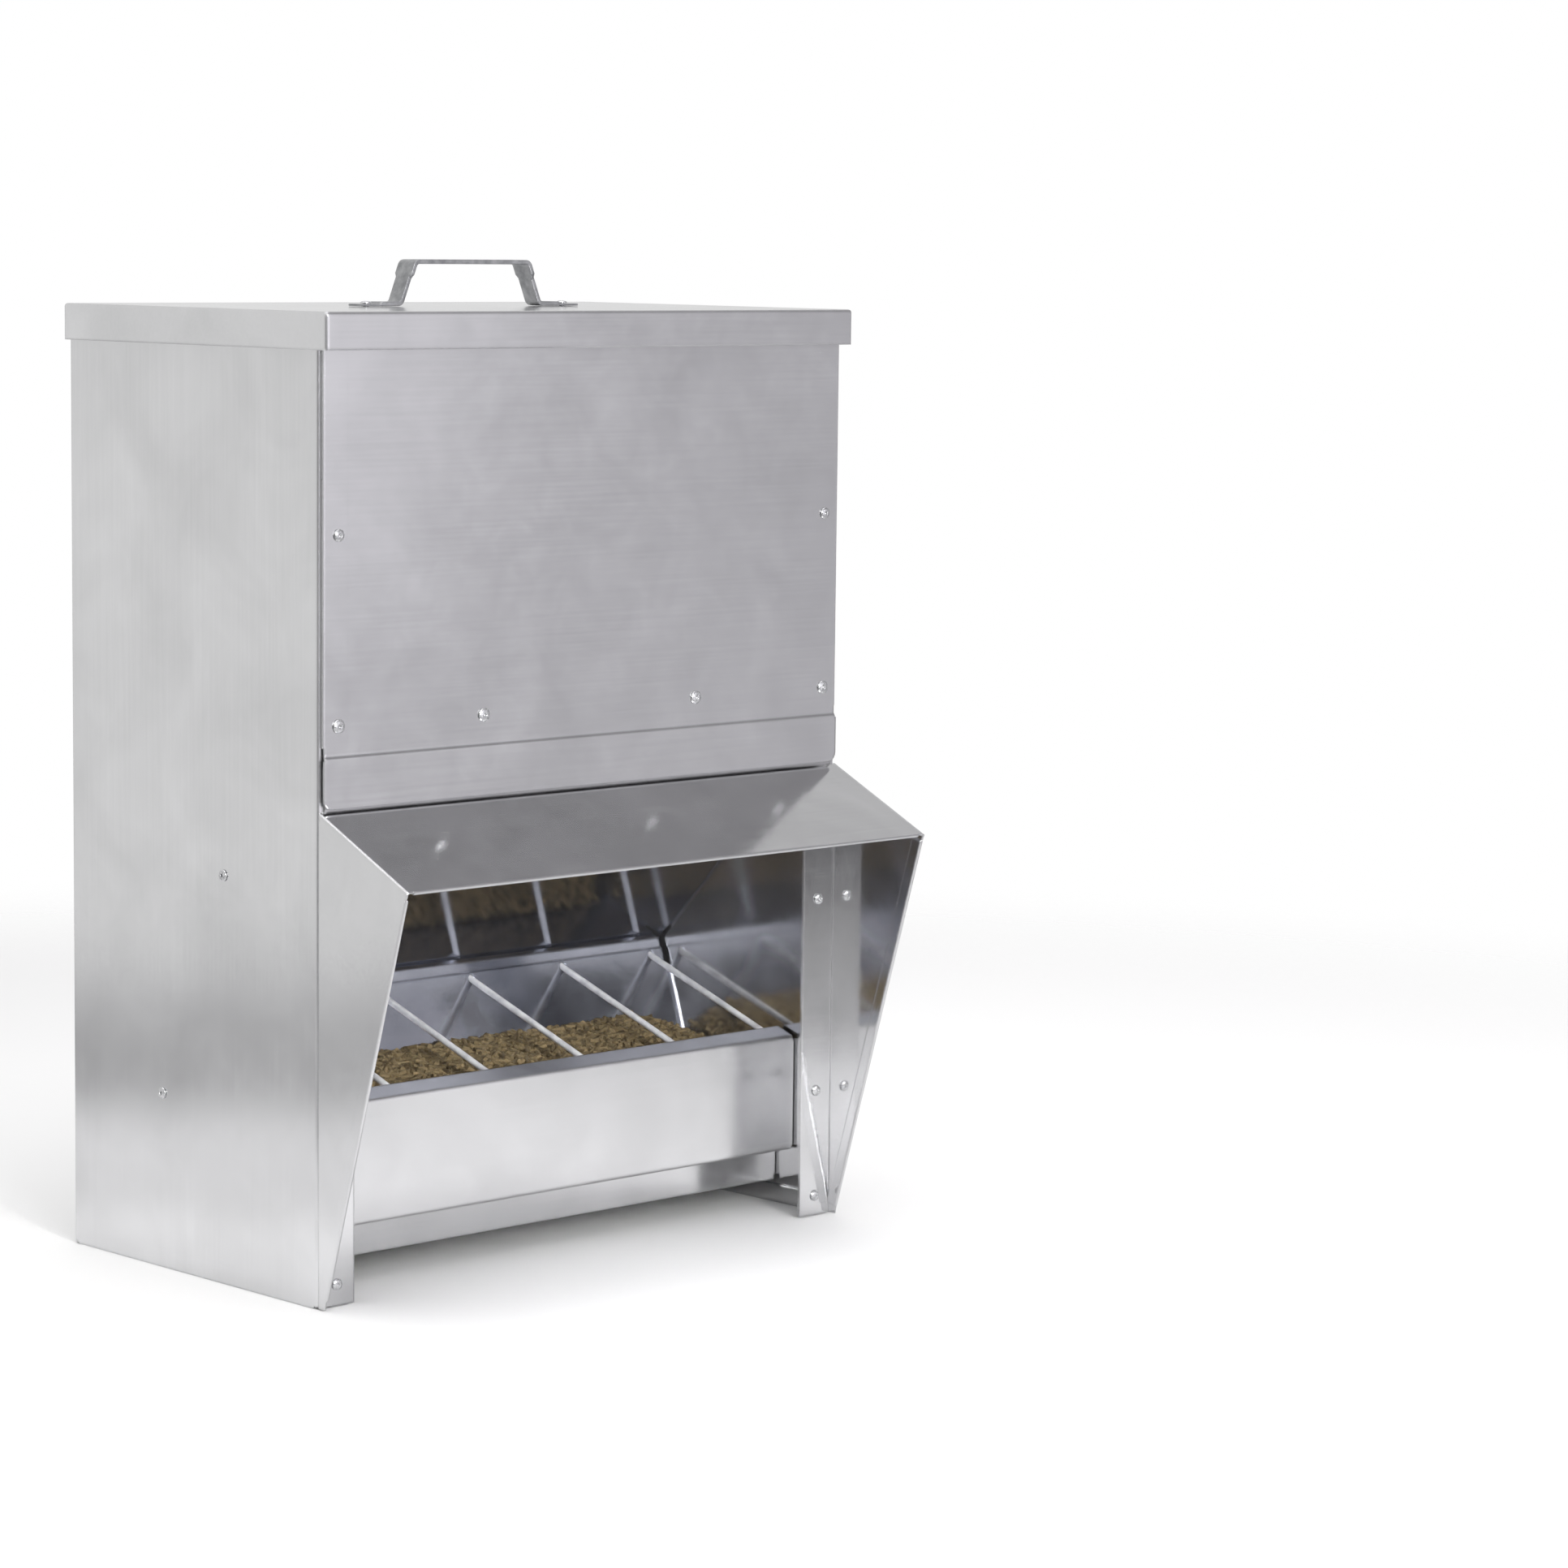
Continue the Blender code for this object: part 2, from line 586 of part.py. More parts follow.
def trough(rods, material):
    """Front wall with a raked lip and a turned-down edge that holds the rods, floor, and two end flanges."""
    narrow = INSIDE - RELIEF
    low = yz(TROUGH_FRONT, TROUGH_BOTTOM)
    start = TROUGH_BOTTOM + RELIEF
    end = TROUGH_TOP - RELIEF
    wall = [at(-narrow, low), at(-narrow, (TROUGH_FRONT, start)), at(-INSIDE, (TROUGH_FRONT, start)),
            at(-INSIDE, (TROUGH_FRONT, end)), at(-narrow, (TROUGH_FRONT, end)), at(-narrow, TROUGH_LIP_FRONT)]
    faces = [
        mirrored(wall),
        cross_face(TROUGH_LIP_FRONT, LIP_EDGE, narrow),
        cross_face(LIP_EDGE, LIP_EDGE - LIP_TURN * RISE_NORMAL, narrow),
        cross_face(low, low + yz(TROUGH_DEPTH, 0), narrow),
    ]
    for x in (-INSIDE, INSIDE):
        back = TROUGH_FRONT + TROUGH_END_FLANGE
        faces.append([at(x, (TROUGH_FRONT, start)), at(x, (TROUGH_FRONT, end)), at(x, (back, end)),
                      at(x, (back, start))])
    tray = folded_sheet("trough", faces, (0, -1, 0), material)
    cut_holes(tray, rods, ROD_RADIUS + GAP)
    return tray


def base_rail(material):
    """An angle between the side panels that carries the trough's floor."""
    y = TROUGH_FRONT + RAIL_SETBACK
    top = TROUGH_BOTTOM - GAP
    narrow = INSIDE - RELIEF
    start = RAIL_BOTTOM + RAIL_TAB_MARGIN
    end = top - RAIL_TAB_MARGIN
    leg = [at(-narrow, (y, RAIL_BOTTOM)), at(-narrow, (y, start)), at(-INSIDE, (y, start)),
           at(-INSIDE, (y, end)), at(-narrow, (y, end)), at(-narrow, (y, top))]
    faces = [mirrored(leg), cross_face(yz(y, top), yz(y + RAIL_SHELF, top), narrow)]
    for x in (-INSIDE, INSIDE):
        faces.append([at(x, (y, start)), at(x, (y, end)), at(x, (y + RAIL_TAB, end)), at(x, (y + RAIL_TAB, start))])
    return folded_sheet("base_rail", faces, (0, -1, 0), material)


def hood(rivets, material):
    """One folded sheet: a sloping roof, a cheek each side, flanges onto the body and hemmed front edges."""
    slope = (HOOD_BACK_EDGE - HOOD_TIP).normalized()
    over = Vector((-slope.y, slope.x))
    toe = yz(-CHEEK_TOE, CHEEK_LIFT)
    edge = (HOOD_TIP - toe).normalized()
    inward = Vector((edge.y, -edge.x))
    hem_low = toe + HEM_START * edge
    hem_high = HOOD_TIP - HEM_START * edge
    upstand_half = HALF - RELIEF - PANEL_INSET
    hem_half = HALF - HEM_START
    flange_top = HOOD_REAR - HEM_START
    seam = HALF - PANEL_INSET

    roof = [at(-HALF, HOOD_TIP), at(-HALF, HOOD_BACK_EDGE), at(-upstand_half, HOOD_BACK_EDGE)]
    roof = mirrored(roof) + [at(hem_half, HOOD_TIP), at(-hem_half, HOOD_TIP)]
    under = HOOD_TIP - HEM * over
    faces = [
        roof,
        cross_face(HOOD_BACK_EDGE, HOOD_BACK_EDGE + yz(0, HOOD_UPSTAND), upstand_half),
        cross_face(HOOD_TIP, under, hem_half),
        cross_face(under, under + HOOD_HEM * slope, hem_half),
    ]
    cheek = [HOOD_TIP, HOOD_BACK_EDGE, yz(-LAP, flange_top), yz(-GAP, flange_top), yz(-GAP, CHEEK_LIFT), toe,
             hem_low, hem_high]
    for out in (-1, 1):
        x = out * HALF
        inner = x - out * HEM
        flange = x - out * FRONT_FLANGE
        faces.append([at(x, point) for point in cheek])
        faces.append([at(x, (-GAP, CHEEK_LIFT)), at(x, (-GAP, flange_top)), at(flange, (-GAP, flange_top)),
                      at(flange, (-GAP, CHEEK_LIFT))])
        faces.append([at(x, hem_low), at(x, hem_high), at(inner, hem_high), at(inner, hem_low)])
        faces.append([at(inner, hem_low), at(inner, hem_high), at(inner, hem_high + CHEEK_HEM * inward),
                      at(inner, hem_low + CHEEK_HEM * inward)])
    shell = folded_sheet("hood", faces, (0, 0, 1), material)
    cut_holes(shell, rivet_cuts(rivets), RIVET_SHANK + GAP)
    return shell


def lid(rivets, material):
    """A shallow tray turned over the hopper: top and four rims."""
    x = HALF + LID_CLEAR_SIDE + SHEET
    low = LID_TOP - LID_RIM
    corners = [(-x, -LID_FRONT), (x, -LID_FRONT), (x, LID_REAR), (-x, LID_REAR)]
    faces = [[at(cx, (cy, LID_TOP)) for cx, cy in corners]]
    for (ax, ay), (bx, by) in zip(corners, corners[1:] + corners[:1]):
        faces.append([at(ax, (ay, LID_TOP)), at(bx, (by, LID_TOP)), at(bx, (by, low)), at(ax, (ay, low))])
    tray = folded_sheet("lid", faces, (0, 0, 1), material)
    cut_holes(tray, rivet_cuts(rivets), RIVET_SHANK + GAP)
    return tray


def strap_stations():
    """The handle's left half, from its end to the bar's corner: (outer point, inner point, half width),
    with the points as (x, height above the lid)."""
    top = HANDLE_HEIGHT
    run = (HANDLE_SPAN - HANDLE_TOP) / 2
    foot = GAP + HANDLE_STRAP
    lean = math.atan2(run, top - foot)
    outside = [Vector((-HANDLE_SPAN / 2, foot)), Vector((-HANDLE_TOP / 2, top))]
    inset = HANDLE_STRAP / math.cos(lean)
    root = -HANDLE_SPAN / 2 - HANDLE_STRAP * math.tan(lean) + inset
    corner = -HANDLE_TOP / 2 - HANDLE_STRAP * math.tan(lean) + inset
    inside = [Vector((root, GAP)), Vector((corner, top - HANDLE_STRAP))]
    slim, wide = HANDLE_WIDTH / 2, GRIP_WIDTH / 2
    step = FOOT_SPAN / 2 + HANDLE_STRAP - TAB_STRAP
    stations = [
        ((-TAB_SPAN / 2, GAP + TAB_STRAP), (-TAB_SPAN / 2, GAP), slim),
        ((-step, GAP + TAB_STRAP), (-step, GAP), slim),
        ((-FOOT_SPAN / 2, foot), (-FOOT_SPAN / 2, GAP), slim),
        (outside[0], inside[0], slim),
    ]
    for share, half in ((GRIP_START, slim), (GRIP_START + GRIP_STEP, wide), (1, wide)):
        stations.append((outside[0].lerp(outside[1], share), inside[0].lerp(inside[1], share), half))
    return stations


def lid_handle(rivets, material):
    """A bent strap with flattened ends. Its bar and the tops of its legs are wider, for the hand."""
    left = strap_stations()
    right = [((-outer[0], outer[1]), (-inner[0], inner[1]), half) for outer, inner, half in reversed(left)]
    middle = handle_centre()
    shape = bmesh.new()
    rings = []
    for outer, inner, half in left + right:
        corners = [(outer, -half), (outer, half), (inner, half), (inner, -half)]
        rings.append([shape.verts.new((x, middle + y, LID_TOP + z)) for (x, z), y in corners])
    for near, far in zip(rings, rings[1:]):
        for side in range(4):
            after = (side + 1) % 4
            shape.faces.new([near[side], near[after], far[after], far[side]])
    shape.faces.new(rings[0])
    shape.faces.new(rings[-1])
    bmesh.ops.recalc_face_normals(shape, faces=shape.faces)
    handle = add_object("lid_handle", mesh_from("lid_handle", shape), material)
    cut_holes(handle, rivet_cuts(rivets), RIVET_SHANK + GAP)
    return handle


def rod_line(x):
    """Where a divider rod crosses the lip's turned edge and the apron's face."""
    start = LIP_EDGE - ROD_SINK * RISE_NORMAL
    down = ROD_SINK / RISE_NORMAL.dot(-APRON_DOWN)
    end = APRON_TOP + down * APRON_DOWN
    return at(x, start), at(x, end)


def rod_places():
    edge = HALF - ROD_END_MARGIN
    return [-edge + 2 * edge * index / (ROD_COUNT - 1) for index in range(ROD_COUNT)]


def rod_holes(end):
    """Cuts for the rods through the lip's turned edge (end 0) or the apron (end 1)."""
    reach = ROD_HOLE_REACH * (rod_line(0)[1] - rod_line(0)[0]).normalized()
    return [(rod_line(x)[end] - reach, rod_line(x)[end] + reach) for x in rod_places()]


def divider_rods(material):
    """Wires from the lip to the apron, with an upset head at each end."""
    for index, x in enumerate(rod_places(), 1):
        start, end = rod_line(x)
        along = (end - start).normalized()
        low = -SHEET - GAP
        high = (end - start).length + SHEET / ROD_THROUGH + ROD_TAIL
        profile = [
            (0, high + ROD_HEAD), (ROD_HEAD_RADIUS, high + ROD_HEAD), (ROD_HEAD_RADIUS, high),
            (ROD_RADIUS, high), (ROD_RADIUS, low), (ROD_HEAD_RADIUS, low),
            (ROD_HEAD_RADIUS, low - ROD_HEAD), (0, low - ROD_HEAD),
        ]
        turned_piece(f"divider_rod_{index}", profile, start, along, material)


def feed_level(y):
    return TROUGH_TOP - FEED_DROP + FEED_SLOPE * (y - TROUGH_FRONT - LAP)


def meets_level(point, direction):
    """Where a profile line meets the feed's surface."""
    rise = direction.y - FEED_SLOPE * direction.x
    return point + direction * (feed_level(point.x) - point.y) / rise


def feed(material):
    """Pellets in the trough and the throat, with a slot where the apron dips in. In a shallow body they reach
    the hopper floor's flange."""
    bed = TROUGH_BOTTOM + SHEET + FEED_BED + GAP
    front = TROUGH_FRONT + LAP
    before = APRON_TOP - GAP * APRON_BACK
    behind = APRON_TOP + LAP * APRON_BACK
    under = (APRON_HEIGHT + GAP) * APRON_DOWN
    over = SHEET + GAP
    slope_face = FLOOR_FOOT + over * Vector((-FLOOR_UP.y, FLOOR_UP.x))
    foot = slope_face + FLOOR_UP * (bed - slope_face.y) / FLOOR_UP.y
    rear = [meets_level(slope_face, FLOOR_UP)]
    flange_face = FLOOR_REAR - over
    if rear[0].x > flange_face:
        corner = slope_face + FLOOR_UP * (flange_face - slope_face.x) / FLOOR_UP.x
        rear = [yz(flange_face, feed_level(flange_face)), corner]
    outline = [
        yz(front, bed), yz(front, feed_level(front)), meets_level(before, APRON_DOWN), before + under,
        behind + under, meets_level(behind, APRON_DOWN), *rear, foot,
    ]
    return prism("feed", outline, HALF - FEED_MARGIN, material)


def build():
    clear_scene()
    zinc = make_material("galvanised_sheet", (0.62, 0.63, 0.65), 0.32, 1.0)
    wire = make_material("galvanised_wire", (0.68, 0.69, 0.70), 0.28, 1.0)
    strap_steel = make_material("strap_steel", (0.33, 0.33, 0.34), 0.45, 1.0)
    rivet_steel = make_material("rivet_aluminium", (0.75, 0.75, 0.76), 0.30, 1.0)
    pellet = make_material("feed_pellets", (0.33, 0.23, 0.12), 0.90, 0.0)

    panel_rivets = front_panel_rivets()
    cheek_rivets = hood_rivets()
    plate_rivets = side_rivets()
    rear_rivets = back_rivets()
    lid_rivets = handle_rivets()
    body_rivets = panel_rivets + cheek_rivets + plate_rivets + rear_rivets

    side_panel("left_side_panel", -1, body_rivets, zinc)
    side_panel("right_side_panel", 1, body_rivets, zinc)
    back_panel(rear_rivets, zinc)
    front_panel(panel_rivets, zinc)
    throat_plate(
        rivet_cuts([place for place in plate_rivets if place.name.startswith("throat")]),
        rivet_cuts(in_row(panel_rivets, PANEL_RIVET_LOW)),
        zinc,
    )
    throat_apron(rivet_cuts([place for place in plate_rivets if place.name.startswith("apron")]), rod_holes(1), zinc)
    hopper_floor(rivet_cuts(in_row(rear_rivets, FLOOR_RIVETS)), zinc)
    trough(rod_holes(0), zinc)
    base_rail(zinc)
    hood(cheek_rivets, zinc)
    divider_rods(wire)
    feed(pellet)
    lid(lid_rivets, zinc)
    lid_handle(lid_rivets, strap_steel)
    for place in body_rivets + lid_rivets:
        make_rivet(place, rivet_steel)


build()
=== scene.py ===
"""The looks of a galvanised trough feeder for poultry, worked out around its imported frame.

The folded sheets keep the frame's shapes and get their zinc here. Rivets, divider rods and the lid's handle
are turned and swept again with smooth rounds, and the feed becomes loose pellets on a bed.
"""

import math

import bpy
import numpy as np
from mathutils import Matrix, Vector


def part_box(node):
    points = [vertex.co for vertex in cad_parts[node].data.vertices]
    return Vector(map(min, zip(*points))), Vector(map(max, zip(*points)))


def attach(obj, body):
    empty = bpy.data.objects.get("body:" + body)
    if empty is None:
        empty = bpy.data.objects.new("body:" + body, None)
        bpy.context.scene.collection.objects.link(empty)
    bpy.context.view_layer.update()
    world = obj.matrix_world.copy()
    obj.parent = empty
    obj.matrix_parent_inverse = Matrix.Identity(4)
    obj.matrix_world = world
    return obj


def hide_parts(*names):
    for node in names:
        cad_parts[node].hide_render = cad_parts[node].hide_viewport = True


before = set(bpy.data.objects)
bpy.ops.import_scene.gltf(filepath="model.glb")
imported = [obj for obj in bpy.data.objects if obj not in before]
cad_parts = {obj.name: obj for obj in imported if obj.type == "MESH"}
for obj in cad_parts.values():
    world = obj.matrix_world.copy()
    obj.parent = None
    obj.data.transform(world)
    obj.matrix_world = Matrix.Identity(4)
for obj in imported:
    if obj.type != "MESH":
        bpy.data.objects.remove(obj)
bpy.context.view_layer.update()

MM = 0.001

# Camera
CAMERA_PLACE = (-1.8713, -2.1916, 0.6291)
CAMERA_HEADING = math.radians(43.98)    # clockwise from +Y
CAMERA_DOWN = math.radians(6.756)
CAMERA_ROLL = math.radians(0.70)
CAMERA_LENS = 107.36
CAMERA_SENSOR = 36.0
CAMERA_NEAREST = 0.05

# Divider rods and rivets
ROD_RAKE = math.radians(18.7)
ROD_RADIUS = 2.0 * MM
ROD_HEAD_RADIUS = 2.5 * MM
ROD_HEAD = 1.0 * MM
ROD_EDGE = 0.35 * MM                    # rounding of the heads' edges
RIVET_SHANK = 1.6 * MM
RIVET_DOME = 1.4 * MM
RIVET_RIM = 0.2 * RIVET_DOME            # straight edge below the dome
RIVET_BORE = 1.05 * MM                  # mouth of the hollow that the mandrel leaves
RIVET_LIP = 0.15 * MM                   # ring between the hollow and the dome
RIVET_HOLLOW = 1.3 * MM                 # depth of the hollow
RIVET_TAIL = 2.6 * MM
RIVET_TAIL_LENGTH = 2.3 * MM
TURN_STEPS = 40
CREASE = math.radians(50)               # a metal piece's edges sharper than this stay crisp

# Handle
HANDLE_STRAP = 2.7 * MM
HANDLE_TAB = 1.3 * MM                   # thickness of the flattened ends
HANDLE_WIDTH = 12.5 * MM
GRIP_WIDTH = 16.0 * MM
HANDLE_TOP = 92.5 * MM                  # length of the bar, outside
HANDLE_SPAN = 113.0 * MM                # across the legs' feet, outside
FOOT_SPAN = 141.0 * MM
GRIP_START = 0.62                       # share of the leg below the wide part
GRIP_STEP = 0.09
BEND_RADIUS = 3.6 * MM                  # at the strap's middle line
STRAP_EDGE = 0.5 * MM                   # rounding of the strap's edges
STRAP_STEP = 1.2 * MM

# Feed
PELLET_RADIUS = 1.55 * MM
PELLET_LENGTH = (4.5 * MM, 9.0 * MM)
PELLET_SIDES = 8
PELLET_SPACING = 3.3 * MM
PELLET_RAGGED = 0.25 * MM               # spread of the ends' corners along the pellet
PELLET_TIP = 0.22                       # spread of the tilt, in radians
PELLET_CREASE = math.radians(60)
LAYER_STEP = 1.5 * MM                   # from one layer of pellets to the next
LAYER_BASE = 1.1 * MM                   # lower layer's axes above the bed
BED_DEPTH = 2.2 * MM                    # bed surface below the frame's level
BED_STEP = 3.0 * MM
SLIP_DEPTH = 12.0 * MM                  # how far the heap in the trough falls away at its ends
SLIP_REACH = 38.0 * MM                  # from the trough's ends, where the fall starts
WALL_CLEAR = 5.0 * MM                   # pellets keep this far from the feed's edges
SAME_LINE = 0.2 * MM                    # a corner this near the feed's level line lies on it
SAME_HEIGHT = 0.1 * MM
TROUGH_SEED = 11
THROAT_SEED = 12


# Colours and nodes


def hex_colour(code):
    """An sRGB hex value as linear RGBA."""
    srgb = [int(code[at : at + 2], 16) / 255 for at in (1, 3, 5)]
    linear = [part / 12.92 if part <= 0.04045 else ((part + 0.055) / 1.055) ** 2.4 for part in srgb]
    return (*linear, 1.0)


def add_node(tree, kind, inputs=None, out=0, **settings):
    """Adds a node with its settings, and returns the output named or numbered by out. inputs gives each
    input, by name or number, a value or an output to link."""
    node = tree.nodes.new(kind)
    for name, value in settings.items():
        setattr(node, name, value)
    for name, value in (inputs or {}).items():
        if isinstance(value, bpy.types.NodeSocket):
            tree.links.new(value, node.inputs[name])
        else:
            node.inputs[name].default_value = value
    return node.outputs[out]


def new_material(name, **shader_values):
    """A material and its Principled shader, with the values that are the same all over the surface."""
    made = bpy.data.materials.new(name)
    made.use_nodes = True
    shader = made.node_tree.nodes["Principled BSDF"]
    for socket, value in shader_values.items():
        shader.inputs[socket.replace("_", " ")].default_value = value
    return made, made.node_tree, shader


# darkest and lightest of each zinc; the throat's is a darker, bluer copy that paints the shade and bluish
# light inside the hopper
ZINC = (hex_colour("#ebebec"), hex_colour("#fbfbfc"))
PAINTED_SHADE_ZINC = (hex_colour("#b0b3bd"), hex_colour("#c0c2cc"))
WIRE_DARK = hex_colour("#d8d8da")
WIRE_LIGHT = hex_colour("#f8f8f8")
RIVET_DARK = hex_colour("#c4c5c7")
RIVET_LIGHT = hex_colour("#f4f4f5")
STRAP_DARK = hex_colour("#97989a")
STRAP_LIGHT = hex_colour("#bcbdbe")
PELLET_DARK = hex_colour("#453a25")
PELLET_LIGHT = hex_colour("#907c58")
# the bed's browns are darker than the pellets': painted shade in the gaps between pellets
BED_SHADE_DARK = hex_colour("#30291a")
BED_SHADE_LIGHT = hex_colour("#5f553a")
BRAN = hex_colour("#9c906f")


# Materials

FOLD_RADIUS = 2.0 * MM                  # rounding that the shading gives to folds and cut edges
NOISE = "ShaderNodeTexNoise"
RANGE = "ShaderNodeMapRange"
MIX = "ShaderNodeMix"
MATHS = "ShaderNodeMath"
BUMP = "ShaderNodeBump"
MAPPING = "ShaderNodeMapping"
COORDINATES = "ShaderNodeTexCoord"


def galvanised_sheet(name, rolled, offset, metallic, dull, tones):
    """Hot-dipped galvanised steel sheet, skin-passed: bright zinc under a thin grey bloom, with faint
    clouds, fine rolling lines along one axis, handling smudges that dull it, and the slight waves of thin
    sheet. rolled is the axis number, dull the mean roughness and tones the darkest and lightest zinc. The
    rolling lines are drawn at 2 mm, coarser than real ones, so that they show. Folds and cut edges are
    rounded in the shading."""
    made, tree, shader = new_material(name, Metallic=metallic)
    here = add_node(tree, COORDINATES, out="Object")
    place = add_node(tree, MAPPING, {"Vector": here, "Location": offset})
    along = [1.0, 1.0, 1.0]
    along[rolled] = 0.02
    stretched = add_node(tree, MAPPING, {"Vector": here, "Location": offset, "Scale": along})
    billows = {"Vector": place, "Scale": 1 / (70 * MM), "Detail": 3.0, "Distortion": 0.5}
    clouds = add_node(tree, NOISE, billows)
    marks = {"Vector": place, "Scale": 1 / (26 * MM), "Detail": 4.0, "Roughness": 0.6, "Distortion": 0.8}
    smudges = add_node(tree, NOISE, marks)
    lines = add_node(tree, NOISE, {"Vector": stretched, "Scale": 1 / (2 * MM), "Detail": 2.0})
    waves = add_node(tree, NOISE, {"Vector": place, "Scale": 1 / (140 * MM), "Detail": 1.0})
    grain = add_node(tree, NOISE, {"Vector": place, "Scale": 1 / (0.9 * MM), "Detail": 1.0})

    tone = add_node(tree, MATHS, {0: lines, 1: 0.2, 2: clouds}, operation="MULTIPLY_ADD")
    share = add_node(tree, RANGE, {0: tone, 1: 0.35, 2: 0.85, 3: 0.0, 4: 1.0})
    colour = add_node(tree, MIX, {0: share, 6: tones[0], 7: tones[1]}, out=2, data_type="RGBA")
    tree.links.new(colour, shader.inputs["Base Color"])
    dulling = add_node(tree, MATHS, {0: lines, 1: 0.2, 2: smudges}, operation="MULTIPLY_ADD")
    rough = add_node(tree, RANGE, {0: dulling, 1: 0.35, 2: 0.85, 3: dull - 0.03, 4: dull + 0.05})
    tree.links.new(rough, shader.inputs["Roughness"])

    rounded = add_node(tree, "ShaderNodeBevel", {"Radius": FOLD_RADIUS}, samples=4)
    height = add_node(tree, MATHS, {0: grain, 1: 0.5, 2: lines}, operation="MULTIPLY_ADD")
    fine = add_node(tree, BUMP, {"Distance": 0.0004 * MM, "Height": height, "Normal": rounded})
    bowed = add_node(tree, BUMP, {"Distance": 0.3 * MM, "Height": waves, "Normal": fine})
    tree.links.new(bowed, shader.inputs["Normal"])
    return made


def drawn_wire():
    """Zinc-plated drawn wire: a pale satin coating with die lines along it and small tarnished patches."""
    made, tree, shader = new_material("satin_drawn_wire", Metallic=0.15)
    here = add_node(tree, COORDINATES, out="Object")
    patches = add_node(tree, NOISE, {"Vector": here, "Scale": 1 / (9 * MM), "Detail": 3.0})
    share = add_node(tree, RANGE, {0: patches, 1: 0.4, 2: 0.65, 3: 0.0, 4: 1.0})
    colour = add_node(tree, MIX, {0: share, 6: WIRE_LIGHT, 7: WIRE_DARK}, out=2, data_type="RGBA")
    tree.links.new(colour, shader.inputs["Base Color"])
    rough = add_node(tree, RANGE, {0: patches, 1: 0.35, 2: 0.7, 3: 0.28, 4: 0.42})
    tree.links.new(rough, shader.inputs["Roughness"])
    drawn = add_node(tree, MAPPING, {"Vector": here, "Scale": (1, 0.04, 0.04)})
    lines = add_node(tree, NOISE, {"Vector": drawn, "Scale": 1 / (0.5 * MM)})
    bump = add_node(tree, BUMP, {"Distance": 0.004 * MM, "Height": lines})
    tree.links.new(bump, shader.inputs["Normal"])
    return made


def rivet_aluminium():
    """Blind-rivet aluminium: satin domes, a little scuffed by the setting tool's nose."""
    made, tree, shader = new_material("satin_rivet_aluminium", Metallic=0.85)
    here = add_node(tree, COORDINATES, out="Object")
    scuffs = add_node(tree, NOISE, {"Vector": here, "Scale": 1 / (1.4 * MM), "Detail": 3.0})
    share = add_node(tree, RANGE, {0: scuffs, 1: 0.35, 2: 0.65, 3: 0.0, 4: 1.0})
    colour = add_node(tree, MIX, {0: share, 6: RIVET_LIGHT, 7: RIVET_DARK}, out=2, data_type="RGBA")
    tree.links.new(colour, shader.inputs["Base Color"])
    rough = add_node(tree, RANGE, {0: scuffs, 1: 0.3, 2: 0.7, 3: 0.18, 4: 0.34})
    tree.links.new(rough, shader.inputs["Roughness"])
    bump = add_node(tree, BUMP, {"Distance": 0.02 * MM, "Height": scuffs})
    tree.links.new(bump, shader.inputs["Normal"])
    return made


def plated_strap():
    """Electro-zinc-plated steel strap: greyer and duller than the sheet, with die lines along the bar and a
    blotchy bloom from handling."""
    made, tree, shader = new_material("dull_plated_strap", Metallic=0.8)
    here = add_node(tree, COORDINATES, out="Object")
    bloom = add_node(tree, NOISE, {"Vector": here, "Scale": 1 / (7 * MM), "Detail": 4.0, "Roughness": 0.6})
    drawn = add_node(tree, MAPPING, {"Vector": here, "Scale": (0.03, 1, 1)})
    lines = add_node(tree, NOISE, {"Vector": drawn, "Scale": 1 / (0.7 * MM)})
    share = add_node(tree, RANGE, {0: bloom, 1: 0.35, 2: 0.68, 3: 0.0, 4: 1.0})
    colour = add_node(tree, MIX, {0: share, 6: STRAP_LIGHT, 7: STRAP_DARK}, out=2, data_type="RGBA")
    tree.links.new(colour, shader.inputs["Base Color"])
    rough = add_node(tree, RANGE, {0: bloom, 1: 0.3, 2: 0.7, 3: 0.3, 4: 0.46})
    tree.links.new(rough, shader.inputs["Roughness"])
    height = add_node(tree, MATHS, {0: bloom, 1: 0.6, 2: lines}, operation="MULTIPLY_ADD")
    bump = add_node(tree, BUMP, {"Distance": 0.02 * MM, "Height": height})
    tree.links.new(bump, shader.inputs["Normal"])
    return made


def meal_pellets(name, darkest, lightest):
    """Pressed compound feed: matt, each pellet its own brown from the tint attribute, with bran flecks and a
    crumbly surface."""
    made, tree, shader = new_material(name, Roughness=0.86)
    here = add_node(tree, COORDINATES, out="Object")
    tint = add_node(tree, "ShaderNodeAttribute", attribute_name="tint", out="Fac")
    meal = add_node(tree, NOISE, {"Vector": here, "Scale": 1 / (0.9 * MM), "Detail": 4.0, "Roughness": 0.7})
    elsewhere = add_node(tree, MAPPING, {"Vector": here, "Location": (0.3, 0.1, 0.2)})
    bran = add_node(tree, NOISE, {"Vector": elsewhere, "Scale": 1 / (0.7 * MM), "Detail": 2.0})
    flecks = add_node(tree, RANGE, {0: bran, 1: 0.6, 2: 0.68, 3: 0.0, 4: 0.8})
    mottle = add_node(tree, MATHS, {0: meal, 1: 0.7, 2: tint}, operation="MULTIPLY_ADD")
    shade = add_node(tree, RANGE, {0: mottle, 1: 0.2, 2: 1.5, 3: 0.0, 4: 1.0})
    body = add_node(tree, MIX, {0: shade, 6: darkest, 7: lightest}, out=2, data_type="RGBA")
    colour = add_node(tree, MIX, {0: flecks, 6: body, 7: BRAN}, out=2, data_type="RGBA")
    tree.links.new(colour, shader.inputs["Base Color"])
    bump = add_node(tree, BUMP, {"Distance": 0.25 * MM, "Height": meal})
    tree.links.new(bump, shader.inputs["Normal"])
    return made


# Mesh helpers


